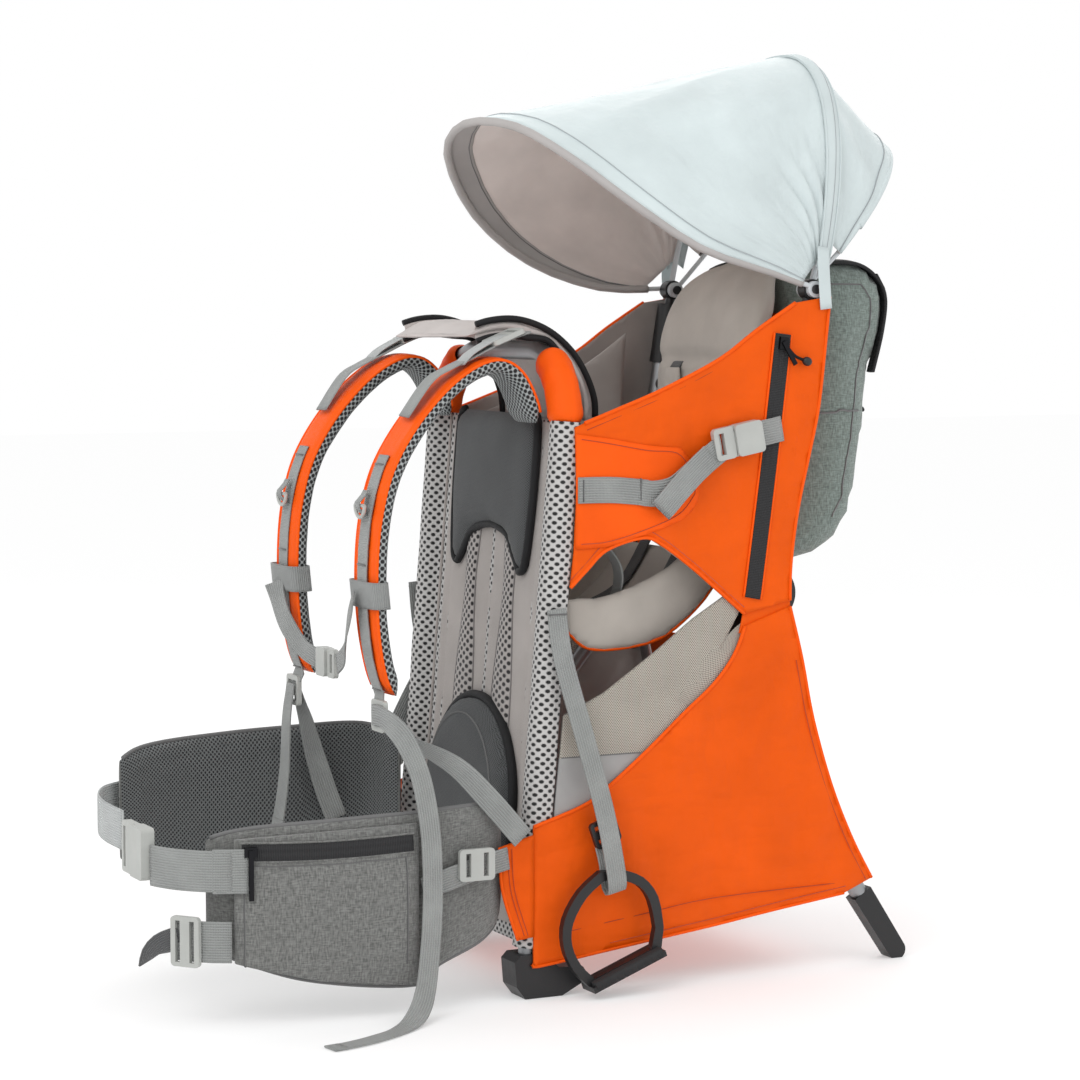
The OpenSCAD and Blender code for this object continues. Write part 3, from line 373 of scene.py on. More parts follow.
class Look:
    """Builds one material's nodes. Every pattern is worked out from coordinates in metres."""

    def __init__(self, name, color, rough=0.8, specular=0.3, metallic=0.0, sheen=0.0,
                 coords="UV"):
        self.mat = bpy.data.materials.new(name)
        self.mat.use_nodes = True
        self.mat.diffuse_color = (*color, 1)
        self.tree = self.mat.node_tree
        self.shader = self.tree.nodes["Principled BSDF"]
        self.color = color
        s = self.shader.inputs
        s["Base Color"].default_value = (*color, 1)
        s["Roughness"].default_value = rough
        s["Specular IOR Level"].default_value = specular
        s["Metallic"].default_value = metallic
        s["Sheen Weight"].default_value = sheen
        s["Sheen Roughness"].default_value = 0.5
        self.place = self.node("ShaderNodeTexCoord").outputs[coords]
        self.heights = []

    def node(self, kind, **inputs):
        n = self.tree.nodes.new(kind)
        for k, v in inputs.items():
            self.feed(n.inputs[k.replace("_", " ")], v)
        return n

    def feed(self, socket, value):
        if isinstance(value, bpy.types.NodeSocket):
            self.tree.links.new(value, socket)
        else:
            socket.default_value = value

    def math(self, op, a, b=0.0, c=0.0):
        n = self.tree.nodes.new("ShaderNodeMath")
        n.operation = op
        for socket, value in zip(n.inputs, (a, b, c)):
            self.feed(socket, value)
        return n.outputs[0]

    def axis(self, i):
        n = self.node("ShaderNodeSeparateXYZ", Vector=self.place)
        return n.outputs[i]

    def noise(self, size, detail=2.0, stretch=1.0, turn=0.0):
        """Noise from 0 to 1 with features about size metres across."""
        n = self.node("ShaderNodeMapping", Vector=self.place)
        n.inputs["Scale"].default_value = (1 / size, stretch / size, 1 / size)
        n.inputs["Rotation"].default_value = (0, 0, turn)
        n = self.node("ShaderNodeTexNoise", Vector=n.outputs[0], Scale=1.0, Detail=detail)
        return n.outputs["Fac"]

    def wave(self, value, pitch):
        """0 to 1 and back once every pitch metres."""
        w = self.math("SINE", self.math("MULTIPLY_ADD", value, 2 * math.pi / pitch))
        return self.math("MULTIPLY_ADD", w, 0.5, 0.5)

    def weave(self, pitch, depth):
        u = self.wave(self.axis(0), pitch)
        v = self.wave(self.axis(1), pitch)
        over = self.math("MULTIPLY", self.math("SUBTRACT", u, 0.5), self.math("SUBTRACT", v, 0.5))
        h = self.math("MULTIPLY_ADD", over, 2.0, 0.5)
        self.heights.append((h, depth * pitch))

    def holes(self, across, along, size, soft=0.15, oval=1.0):
        """A field of oval holes in staggered rows: 1 in a hole, 0 on the cloth."""
        rows = []
        for shift in (0.0, 0.5):
            u = self.math("SUBTRACT", self.math("FRACT", self.math(
                "MULTIPLY_ADD", self.axis(0), 1 / across, shift)), 0.5)
            v = self.math("SUBTRACT", self.math("FRACT", self.math(
                "MULTIPLY_ADD", self.axis(1), 1 / along, shift)), 0.5)
            u = self.math("MULTIPLY", u, across / size)
            v = self.math("MULTIPLY", v, along / (size * oval))
            rows.append(self.math("SQRT", self.math(
                "ADD", self.math("MULTIPLY", u, u), self.math("MULTIPLY", v, v))))
        near = self.math("MINIMUM", rows[0], rows[1])
        n = self.node("ShaderNodeMapRange", Value=near)
        n.interpolation_type = "SMOOTHSTEP"
        for k, v in (("From Min", 0.5 - soft), ("From Max", 0.5 + soft), ("To Min", 1.0),
                     ("To Max", 0.0)):
            n.inputs[k].default_value = v
        return n.outputs[0]

    def mix(self, factor, a, b):
        n = self.tree.nodes.new("ShaderNodeMix")
        n.data_type = "RGBA"
        self.feed(n.inputs[0], factor)
        for socket, value in ((n.inputs[6], a), (n.inputs[7], b)):
            self.feed(socket, (*value, 1) if isinstance(value, tuple) else value)
        return n.outputs[2]

    def stretch(self, factor, lo, hi):
        n = self.node("ShaderNodeMapRange", Value=factor)
        for k, v in (("From Min", lo), ("From Max", hi)):
            n.inputs[k].default_value = v
        return n.outputs[0]

    def vary(self, size, amount):
        """Uneven dye and wear over the cloth."""
        dark = tuple(c * (1 - amount) for c in self.color)
        light = tuple(min(1, c * (1 + amount)) for c in self.color)
        f = self.stretch(self.noise(size, 3.0), 0.3, 0.7)
        return self.mix(f, dark, light)

    def paint(self, color):
        self.feed(self.shader.inputs["Base Color"], color)

    def rough(self, value):
        self.feed(self.shader.inputs["Roughness"], value)

    def done(self):
        """Adds up the heights, in metres, as bumps."""
        normal = None
        for h, depth in self.heights:
            n = self.node("ShaderNodeBump", Height=h, Distance=depth)
            n.inputs["Strength"].default_value = 1.0
            if normal:
                self.tree.links.new(normal, n.inputs["Normal"])
            normal = n.outputs[0]
        if normal:
            self.tree.links.new(normal, self.shader.inputs["Normal"])
        return self.mat


def shade(color, k):
    return tuple(min(1.0, c * k) for c in color)


ORANGE = (0.86, 0.098, 0.003)
TAUPE = (0.38, 0.345, 0.325)
HEATHER = (0.165, 0.167, 0.160)
LIGHT_MESH = (0.50, 0.49, 0.48)
WEBBING = (0.295, 0.305, 0.298)
CANOPY = (0.57, 0.64, 0.645)
CREAM = (0.40, 0.41, 0.39)
BLACK = (0.012, 0.012, 0.013)


def nylon(name, color, rough=0.5, creases=0.0009, sheen=0.03, gloss=0.22):
    """Coated woven cloth with a slight gloss, small puckers and long soft creases."""
    m = Look(name, color, rough=rough, specular=gloss, sheen=sheen)
    m.weave(0.0007, 0.12)
    m.heights.append((m.noise(0.012, 2.0, 0.6), 0.0005))
    m.heights.append((m.noise(0.045, 3.0, 0.35, 0.5), creases * 2))
    m.heights.append((m.noise(0.07, 2.0, 2.6, -0.4), creases * 2))
    if creases > 0.002:
        m.heights.append((m.noise(0.10, 2.0, 0.45, 0.7), 0.013))
        m.heights.append((m.noise(0.10, 2.0, 0.35, -0.9), 0.010))
    m.paint(m.vary(0.08, 0.07))
    m.rough(m.math("MULTIPLY_ADD", m.noise(0.03, 3.0), 0.2, rough - 0.1))
    return m.done()


def webbing_look(name, color=WEBBING, pitch=0.0024):
    """Ribbed webbing: lengthwise ribs under a fine crossways weave, with painted shade in the
    grooves between the ribs and lighter worn patches.
    """
    m = Look(name, color, rough=0.75, specular=0.25, sheen=0.25)
    ribs = m.wave(m.axis(0), pitch)
    cross = m.wave(m.axis(1), pitch * 0.62)
    h = m.math("MULTIPLY_ADD", cross, 0.45, ribs)
    m.heights.append((h, 0.0007))
    # Painted shade: the colour follows the rib height, darker in the grooves and lighter on the
    # ribs.
    tone = m.mix(m.math("MULTIPLY", h, 0.7), shade(color, 0.72), shade(color, 1.12))
    # Lighter worn patches at random, laid over the painted rib shade.
    wear_over_rib_shade = m.mix(m.stretch(m.noise(0.04, 3.0), 0.4, 0.75), tone, shade(color, 1.15))
    m.paint(wear_over_rib_shade)
    return m.done()


def mesh_look(name, color, hole_shade, across=0.0092, along=0.0086, size=0.0043, oval=0.78):
    """Spacer mesh: staggered oval holes through a ribbed cloth, coloured dark as painted shade
    seen inside the holes.
    """
    m = Look(name, color, rough=0.85, specular=0.2, sheen=0.2)
    open_ = m.holes(across, along, size, oval=oval)
    cloth = m.mix(m.wave(m.axis(1), 0.0011), shade(color, 0.85), shade(color, 1.1))
    cloth = m.mix(m.stretch(m.noise(0.05, 2.0), 0.3, 0.7), cloth, shade(color, 0.93))
    # Painted shade: the holes take the dark colour of the shade inside them.
    m.paint(m.mix(open_, cloth, hole_shade))
    m.heights.append((m.math("SUBTRACT", 1.0, open_), 0.0012))
    m.heights.append((m.noise(0.03, 2.0), 0.001))
    return m.done()


def heather_look(name, color=HEATHER):
    """Melange cloth: light and dark threads crossing, with flecks."""
    m = Look(name, color, rough=0.85, specular=0.2, sheen=0.3)
    long_ = m.noise(0.0015, 2.0, 0.22)
    cross = m.noise(0.007, 2.0, 5.5)
    f = m.math("MULTIPLY_ADD", long_, 0.55, m.math("MULTIPLY", cross, 0.45))
    tone = m.mix(m.stretch(f, 0.38, 0.62), shade(color, 0.62), shade(color, 1.5))
    m.paint(m.mix(m.math("MULTIPLY", m.noise(0.05, 3.0), 0.35), tone, shade(color, 0.85)))
    m.weave(0.0011, 0.25)
    m.heights.append((m.noise(0.03, 3.0), 0.0016))
    return m.done()


def soft_cloth(name, color):
    """Plain woven lining with shallow folds."""
    m = Look(name, color, rough=0.85, specular=0.2, sheen=0.3)
    m.weave(0.0008, 0.2)
    m.heights.append((m.noise(0.035, 3.0, 0.6), 0.0012))
    m.paint(m.vary(0.05, 0.08))
    return m.done()


def fine_mesh(name, color, hole_shade, pitch=0.0021):
    m = Look(name, color, rough=0.85, specular=0.15, sheen=0.15)
    open_ = m.holes(pitch, pitch * 1.2, pitch * 0.5, 0.25)
    # Painted shade: the holes take the dark colour of the shade inside them.
    m.paint(m.mix(m.math("MULTIPLY", open_, 0.85), m.vary(0.06, 0.08), hole_shade))
    m.heights.append((m.math("SUBTRACT", 1.0, open_), 0.0006))
    m.heights.append((m.noise(0.04, 2.0), 0.0012))
    return m.done()


def moulded(name, color, rough=0.42):
    """Moulded plastic with a fine spark-eroded grain and slight wear."""
    m = Look(name, color, rough=rough, specular=0.45, coords="Object")
    m.heights.append((m.noise(0.0012, 2.0), 0.00012))
    m.heights.append((m.noise(0.02, 2.0), 0.0002))
    m.paint(m.vary(0.03, 0.05))
    m.rough(m.math("MULTIPLY_ADD", m.noise(0.012, 3.0), 0.22, rough - 0.08))
    return m.done()


def metal_look(name, color, rough=0.35):
    m = Look(name, color, rough=rough, specular=0.5, metallic=1.0, coords="Object")
    m.heights.append((m.noise(0.0015, 2.0, 12.0), 0.00006))
    m.paint(m.vary(0.05, 0.06))
    m.rough(m.math("MULTIPLY_ADD", m.noise(0.02, 3.0), 0.2, rough - 0.1))
    return m.done()


def zip_look(name):
    """Reversed coil zip: fine crossways teeth down the middle of black tape, their tops painted
    lighter as a painted highlight.
    """
    m = Look(name, BLACK, rough=0.6, specular=0.35)
    m.heights.append((m.wave(m.axis(1), 0.0016), 0.0005))
    m.heights.append((m.wave(m.axis(0), 0.0062), 0.0006))
    # Painted highlight: the colour follows the teeth's height, lighter on their tops.
    m.paint(m.mix(m.wave(m.axis(1), 0.0016), BLACK, (0.03, 0.03, 0.032)))
    return m.done()


def stitched(name, color):
    """Thread in short stitches along u, painted darker in the dips and lighter on the tops as
    painted shade and highlight.
    """
    m = Look(name, color, rough=0.7, sheen=0.2)
    m.heights.append((m.wave(m.axis(0), 0.0032), 0.0006))
    # Painted shade and highlight: the colour follows the stitch height.
    m.paint(m.mix(m.wave(m.axis(0), 0.0032), shade(color, 0.55), shade(color, 1.15)))
    return m.done()


L = {
    "orange": nylon("orange_nylon", ORANGE, sheen=0.0, gloss=0.12),
    "orange_panel": nylon("orange_panel_nylon", (0.76, 0.092, 0.001), rough=0.46,
                          creases=0.0022, sheen=0.0, gloss=0.12),
    "orange_in": soft_cloth("orange_inside", (0.72, 0.085, 0.008)),
    "taupe": soft_cloth("taupe_lining", TAUPE),
    "taupe_dark": soft_cloth("taupe_shadow_lining", (0.20, 0.185, 0.18)),
    "grey_cloth": soft_cloth("grey_side_cloth", (0.34, 0.335, 0.33)),
    # The dark colour given after each mesh's own colour is painted shade in its holes.
    "light_mesh": mesh_look("light_spacer_mesh", LIGHT_MESH, (0.02, 0.02, 0.02)),
    "pad_mesh": mesh_look("pad_edge_mesh", (0.36, 0.385, 0.385), (0.015, 0.015, 0.016),
                          0.0062, 0.0064, 0.0034, 1.1),
    "column_mesh": mesh_look("column_mesh", (0.42, 0.39, 0.375), (0.03, 0.028, 0.028),
                             0.0078, 0.0084, 0.0036, 1.1),
    "dark_mesh": fine_mesh("dark_spacer_mesh", (0.115, 0.12, 0.123), (0.02, 0.02, 0.02)),
    "wing_mesh": mesh_look("wing_spacer_mesh", (0.16, 0.17, 0.17), (0.018, 0.018, 0.02),
                           0.0054, 0.0046, 0.0026, 0.8),
    "gusset_mesh": fine_mesh("gusset_mesh", (0.50, 0.46, 0.40), (0.10, 0.09, 0.08), 0.0024),
    "heather": heather_look("heather_cloth"),
    "webbing": webbing_look("grey_webbing"),
    "webbing_light": webbing_look("light_webbing", (0.44, 0.46, 0.455)),
    "dark_webbing": webbing_look("dark_webbing", (0.09, 0.092, 0.095)),
    "canopy": nylon("canopy_nylon", CANOPY, rough=0.36, creases=0.0019, sheen=0.1),
    # Painted light: the canopy's lining is brighter than its cloth, to stand in for daylight
    # showing through the canopy.
    "canopy_in_lit": soft_cloth("canopy_lining_lit", (0.80, 0.72, 0.68)),
    "canopy_hem": nylon("canopy_hem", (0.40, 0.38, 0.37), rough=0.6),
    "canopy_band": nylon("canopy_band", (0.545, 0.61, 0.615), rough=0.5, creases=0.0003),
    "webbing_across": webbing_look("ribbed_elastic", (0.28, 0.29, 0.285), 0.0019),
    "chest_cloth": soft_cloth("chest_cloth", (0.52, 0.475, 0.455)),
    "seat_cloth": soft_cloth("seat_cloth", (0.56, 0.515, 0.465)),
    "heather_light": heather_look("bag_heather", (0.175, 0.215, 0.195)),
    # The bag mesh's dark second colour is painted shade in its holes.
    "bag_mesh": fine_mesh("bag_mesh", (0.50, 0.52, 0.50), (0.12, 0.13, 0.125), 0.003),
    "binding": nylon("black_binding", BLACK, rough=0.6, creases=0.0003),
    "grey_binding": nylon("grey_binding", (0.15, 0.15, 0.15), rough=0.7, creases=0.0003),
    "cream": moulded("buckle_plastic", CREAM),
    "black": moulded("black_plastic", BLACK, 0.38),
    "rubber": moulded("black_rubber", (0.016, 0.016, 0.017), 0.7),
    "rod": moulded("canopy_rod", (0.55, 0.58, 0.6)),
    "tube": metal_look("frame_tube", (0.32, 0.33, 0.34), 0.42),
    "pin": metal_look("steel_pin", (0.5, 0.5, 0.51)),
    "zip": zip_look("zip_tape"),
    "pull": metal_look("zip_pull", (0.02, 0.02, 0.022), 0.4),
    "thread": stitched("orange_thread", (0.62, 0.07, 0.01)),
    "dark_thread": stitched("grey_thread", (0.16, 0.16, 0.16)),
    "pale_thread": stitched("pale_thread", (0.5, 0.54, 0.56)),
}


# ---------- stage and camera ----------


def camera_and_light():
    cam = bpy.data.cameras.new("camera")
    cam.lens = 103
    cam.sensor_width = 36
    cam.clip_end = 50
    obj = bpy.data.objects.new("camera", cam)
    obj.location = P(2754, -1257.4, 660.8)
    aim = P(-23.9, 97.5, 420.7) - obj.location
    obj.rotation_euler = aim.to_track_quat("-Z", "Y").to_euler()
    bpy.context.scene.collection.objects.link(obj)
    bpy.context.scene.camera = obj
    bpy.context.scene.view_settings.view_transform = "Standard"

    world = bpy.data.worlds.new("studio")
    bpy.context.scene.world = world
    world.use_nodes = True
    world.node_tree.nodes["Background"].inputs[0].default_value = (1, 1, 1, 1)
    world.node_tree.nodes["Background"].inputs[1].default_value = 1.0
    for name, place, size, watts in (
        ("key", P(1500, -1900, 2300), 1.6, 26),
        ("fill", P(2300, 1300, 1500), 2.2, 6),
        ("back", P(-1800, 1500, 2200), 2.0, 14),
    ):
        light = bpy.data.lights.new(name, "AREA")
        light.size = size
        light.energy = watts
        lamp = bpy.data.objects.new(name, light)
        lamp.location = place
        lamp.rotation_euler = (P(0, 100, 450) - place).to_track_quat("-Z", "Y").to_euler()
        bpy.context.scene.collection.objects.link(lamp)

    floor = bpy.data.meshes.new("floor")
    r = 12
    floor.from_pydata([(-r, -r, 0), (r, -r, 0), (r, r, 0), (-r, r, 0)], [], [(0, 1, 2, 3)])
    stage = bpy.data.objects.new("floor", floor)
    stage.location.z = -0.0004
    bpy.context.scene.collection.objects.link(stage)
    look = Look("floor_paper", (0.685, 0.685, 0.685), rough=1.0, specular=0.0, coords="Object")
    look.shader.inputs["Emission Color"].default_value = (1, 1, 1, 1)
    look.shader.inputs["Emission Strength"].default_value = 0.30
    look.heights.append((look.noise(0.004), 0.00005))
    floor.materials.append(look.done())


# ---------- cords: the free ends of the shoulder webbing ----------

TAIL_W = 20
TAIL_LEFT = [
    (100, -137.8, 273), (112, -138.2, 274), (126, -138, 273), (140, -135, 268),
    (153, -130, 258), (164, -125, 242), (172, -120, 222), (177, -116.5, 198),
    (180.5, -114, 170), (182, -113, 140), (182.5, -113, 110), (183, -114.5, 80),
    (185, -118, 52), (189.5, -123, 30), (198, -132, 14), (210, -146, 4.5), (223, -164, 1.2),
    (236, -185, 1.2), (247, -208, 1.2), (254, -230, 1.2), (257, -246, 1.2),
]
TAIL_RIGHT = [
    (-108, -138.2, 280), (-108, -139.5, 270), (-107.5, -141.5, 259), (-107, -143, 248),
    (-106.5, -144, 237), (-106, -144.5, 226), (-106, -145, 215), (-106, -145.5, 204),
    (-106.5, -146, 193), (-107, -147, 182), (-107.5, -148, 171), (-108, -149.5, 160),
    (-108.5, -151, 150), (-109, -152.5, 140), (-109.5, -154, 130),
]


def free_tail(name, route, sides):
    per = 5
    line = spline(points(route), per)
    side = spline(sides, per)
    side /= np.linalg.norm(side, axis=1)[:, None]
    obj = sweep(name, line, side, section(TAIL_W, 1.8), mats=["webbing"], slot="webbing")
    float(lengths(line)[-1])
    return obj


def strap_tails():
    turn, fall, ground, last = 2, 6, 13, len(TAIL_LEFT) - 1
    sides = []
    for i in range(last + 1):
        if i < fall:
            v = Vector((0, 0, 1)).lerp(Vector((0, 1, 0)), max(0, i - turn) / (fall - turn))
        elif i < ground:
            v = Vector((0, 1, 0))
        else:
            v = Vector((0, 1, 0)).lerp(Vector((1, 0.15, 0)), (i - ground) / (last - ground))
        sides.append(v.normalized())
    left = free_tail("strap_tail_left", TAIL_LEFT, sides)
    right = free_tail("strap_tail_right", TAIL_RIGHT,
                      turning((1, 0, 0), (1, 0.2, 0), len(TAIL_RIGHT)))
    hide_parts("strap_tails")
    for name, tail, route, across, thick in (
            ("left", left, TAIL_LEFT, Vector((1, 0.15, 0)), 2.2),
            ("right", right, TAIL_RIGHT, Vector((1, 0.2, 0)), 2.9)):
        before, end = points(route)[-2:]
        run = (end - before).normalized()
        across = (across - run * across.dot(run)).normalized()
        fold = sweep(f"strap_tail_fold_{name}", [end - run * 0.014, end - run * 0.0006],
                     [across, across], section(TAIL_W + 0.4, thick), mats=["webbing"],
                     slot="webbing")
        fold.parent = tail
        fold.matrix_parent_inverse = Matrix.Identity(4)


camera_and_light()
strap_tails()


# ---------- flat cloth from the CAD solids ----------


def rim_tree(bm, direction):
    """Where the outline runs: a tree of points on the edges between face and side."""
    d = Vector(direction)
    found = []
    for e in bm.edges:
        if len(e.link_faces) == 2:
            a, b = (abs(f.normal.dot(d)) > 0.7 for f in e.link_faces)
            if a != b:
                p, q = (v.co - v.co.dot(d) * d for v in e.verts)
                n = max(1, int((p - q).length / 0.002))
                found += [p.lerp(q, k / n) for k in range(n + 1)]
    tree = KDTree(len(found))
    for i, p in enumerate(found):
        tree.insert(p, i)
    tree.balance()
    return lambda co: tree.find(co - co.dot(d) * d)[2]


def crown(bm, direction, radius, edge=0.35, both=False):
    """Rounds a slab: full thickness inside, thin at its outline. direction points out of it."""
    bm.normal_update()
    d = Vector(direction).normalized()
    away = rim_tree(bm, d)
    level = [v.co.dot(d) for v in bm.verts]
    lo, hi = min(level), max(level)
    for v, h in zip(bm.verts, level):
        t = min(1.0, away(v.co) / radius)
        k = edge + (1 - edge) * math.sqrt(1 - (1 - t) ** 2)
        middle = (lo + hi) / 2 if both else lo
        v.co += d * ((h - middle) * (k - 1))


def hem(name, line, r, look, x, per=4, body="frame", slot="orange_cloth"):
    """A piped edge along a line of (y, z) at x, in mm."""
    route = spline([P(x, y, z) for y, z in line], per)
    route = resample(route, max(6, int(lengths(route)[-1] / 0.005)))
    return tube(name, route, r, look, 8, body=body, slot=slot)


def stitches(name, line, x, look="thread", r=0.45, **rest):
    return hem(name, line, r, look, x, **rest)


HEM_REAR = [(324, 664), (320, 625), (312, 557), (301, 508), (289, 456), (282, 406), (281, 368)]
HEM_TOP = [(56, 545), (92, 558), (140, 576), (201, 604), (241, 631), (285, 658)]
HEM_ARCH = [(230, 357), (197, 384), (171, 405), (140, 427), (119, 435), (80, 425), (59, 407),
            (41, 390)]
UPPER_HEM = [(2.5, 165), (54, 181), (79, 196), (120, 227), (164, 264), (197, 291), (219, 318),
             (230.5, 345)]
LOWER_HEM = [(345, 73), (264, 63), (198, 54), (140, 47), (82, 40), (7, 31), (2.5, 34)]
LEG_HEM = [(281, 362), (295, 310), (308, 250), (329, 184), (353, 129), (377, 86)]
SIDE_ZIP = [(270.5, 628), (264, 574), (254, 492), (240, 388), (237.5, 372)]
TAB = [(46, 535), (77, 531), (122, 523), (158, 520), (172, 504), (178, 485), (176, 468),
       (160, 451), (119, 437.5), (80, 427.5), (46, 426)]
SKIN_X = 158.5


def off_line(p, line):
    """Distance in mm of (y, z) from a polyline."""
    best = 1e9
    for a, b in zip(line, line[1:]):
        a, b = np.array(a, float), np.array(b, float)
        t = np.clip(np.dot(p - a, b - a) / np.dot(b - a, b - a), 0, 1)
        best = min(best, float(np.linalg.norm(p - a - t * (b - a))))
    return best


def side_panel(node, name, s, step, relief, body="frame"):
    """A side panel with its creases: relief(y, z) in mm, outwards, at a point of its face."""
    bm = solid_copy(node, lambda c: c.x * s > 0)
    cut(bm, step, (1, 2))
    bm.normal_update()
    away = rim_tree(bm, (1, 0, 0))
    for v in bm.verts:
        edge = min(1.0, away(v.co) / 0.016)
        y, z = v.co.y / MM + ORIGIN_Y, v.co.z / MM
        v.co.x += s * MM * (relief(y, z) * edge - 0.5 * (1 - edge) ** 2)
    return to_object(bm, name, ["orange_panel", "taupe"], uv_side, body=body,
                     replaces=[node],
                     index=lambda c, n: 0 if n.x * s > -0.5 else 1)


def upper_relief(y, z):
    p = np.array([y, z])
    zip_ = smoothstep(off_line(p, SIDE_ZIP), 9, 26)
    tab = max(smoothstep(y, 178, 200), smoothstep(z, 538, 552), smoothstep(-z, -424, -412))
    free = float(zip_ * tab)
    co = (0, y * MM, z * MM)
    long_ = wrinkle(co, 0.05, 3, (1, 0.5, 1.5)) + 0.6 * wrinkle(co, 0.022, 7, (1, 0.8, 1.3))
    pull = 0.6 * math.sin(0.11 * (z - 0.6 * y)) * peak(y - 205, 40)
    rear = math.exp(-off_line(p, HEM_REAR) / 16)
    pucker = 1.3 * rear * math.sin(0.42 * z + 0.25 * y + 2 * wrinkle(co, 0.03, 2))
    return (-0.6 + free * (0.9 + 1.4 * long_ + pull) - (1 - free) * 0.3 * abs(long_)
            + pucker * min(1, off_line(p, SIDE_ZIP) / 14))


def lower_relief(y, z):
    co = (0, y * MM, z * MM)
    broad = wrinkle(co, 0.16, 11, (1, 0.8, 1.0))
    fold = wrinkle((0, (y * 0.8 + z * 0.6) * MM, (z * 0.8 - y * 0.6) * MM), 0.05, 4,
                   (1, 0.35, 1.6))
    fan = math.sin(math.atan2(z - 350, 300 - y) * 26) * peak(z - 300, 90)
    drag = math.sin(0.16 * (y + 0.35 * z)) * peak(z - 70, 28) * 0.5
    calm = smoothstep(y, 2, 60)
    return -0.5 + float(calm) * (1.3 + 2.6 * broad + 2.3 * fold + 1.3 * fan + 1.6 * drag)


def side_panels():
    for s, side in SIDES:
        side_panel("side_panels_upper", f"side_panel_upper_{side}", s, 0.007, upper_relief)
        lower = side_panel("side_panels_lower", f"side_panel_lower_{side}", s, 0.008,
                           lower_relief, body=None)
        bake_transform(lower)
        x = s * (SKIN_X - 0.9)
        hem(f"hem_top_{side}", HEM_TOP, 1.9, "orange", x)
        hem(f"hem_arch_{side}", HEM_ARCH, 1.9, "orange", x)
        hem(f"hem_upper_rear_{side}", HEM_REAR, 1.7, "orange", x)
        stitches(f"stitch_arch_{side}", [(y - 1, z + 6.5) for y, z in HEM_ARCH],
                 s * (SKIN_X - 0.35))
        stitches(f"stitch_top_{side}", [(y + 2, z - 6.5) for y, z in HEM_TOP[:-1]],
                 s * (SKIN_X - 0.35))
        for k, (line, r) in enumerate(((UPPER_HEM, 1.8), (LOWER_HEM, 1.5), (LEG_HEM, 1.7))):
            piece = hem(f"hem_lower_{k}_{side}", line, r, "orange", x, body=None)
            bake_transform(piece)
        for k, line in enumerate(([(y + 1, z + 7) for y, z in LOWER_HEM[:-2]],
                                  [(37, 62), (119, 72), (197, 81), (340, 84)],
                                  [(y - 7.5, z - 1) for y, z in LEG_HEM[1:]])):
            piece = stitches(f"stitch_lower_{k}_{side}", line, s * (SKIN_X + 0.55))
            piece.parent = None
            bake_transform(piece)


def leg_sleeves():
    """Cloth turned round each rear upright, from the panel's rear edge."""
    for s, side in SIDES:
        lo, hi = from_pivot(30, REAR_LEAN), from_pivot(236, REAR_LEAN)
        rows = []
        for t in np.linspace(0, 1, 34):
            y, z = lo[0] + (hi[0] - lo[0]) * t, lo[1] + (hi[1] - lo[1]) * t
            row = []
            for k, a in enumerate(np.linspace(-8, 196, 18)):
                r = 13.2 + 0.5 * wrinkle((a * 0.001, 0, z * MM), 0.02, 2)
                flat = 4.2 * (1 - smoothstep(a, 0, 60))
                rear = 3.5 * math.sin(math.radians(max(0, min(180, a))))
                row.append(P(s * (TUBE_X + (r + flat) * math.cos(math.radians(a))),
                             y + (r + rear) * math.sin(math.radians(a)), z))
            rows.append(row)
        grid(f"upright_sleeve_{side}", rows, mats=["orange_panel"], slot="orange_cloth")


def side_tabs():
    for s, side in SIDES:
        bm = solid_copy("side_tabs", lambda c: c.x * s > 0 and c.y > 0.0)
        cut(bm, 0.006, (1, 2))
        crown(bm, (s, 0, 0), 0.006, 0.35)
        tab = to_object(bm, f"side_tab_{side}", ["orange"], uv_side)
        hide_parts("side_tabs")
        bm = solid_copy("side_tabs", lambda c: c.x * s > 0 and c.y < 0.0)
        cut(bm, 0.006, (1, 2))
        bm.normal_update()
        away = rim_tree(bm, (1, 0, 0))
        for v in bm.verts:
            v.co.x += s * MM * (0.8 * wrinkle(v.co, 0.03, 4) - 0.5) * min(1, away(v.co) / 0.01)
        to_object(bm, f"belt_flap_{side}", ["orange_panel"], uv_side)
        inner = [(y + (5 if y < 60 else 0) - (5 if y > 150 else 0),
                  z + (5 if z < 470 else -5)) for y, z in TAB]
        stitches(f"stitch_tab_{side}", inner, s * 160.9)
        for k, d in enumerate((5, 9)):
            stitches(f"stitch_flap_{k}_{side}", [(-30 + d, 146), (-27 + d, 106), (-13 + d, 62)],
                     s * (SKIN_X - 0.1), per=6)
        hem(f"flap_edge_{side}", [(-33, 148), (-30, 106), (-14, 58)], 1.6, "orange",
            s * (SKIN_X - 1.2), per=6)


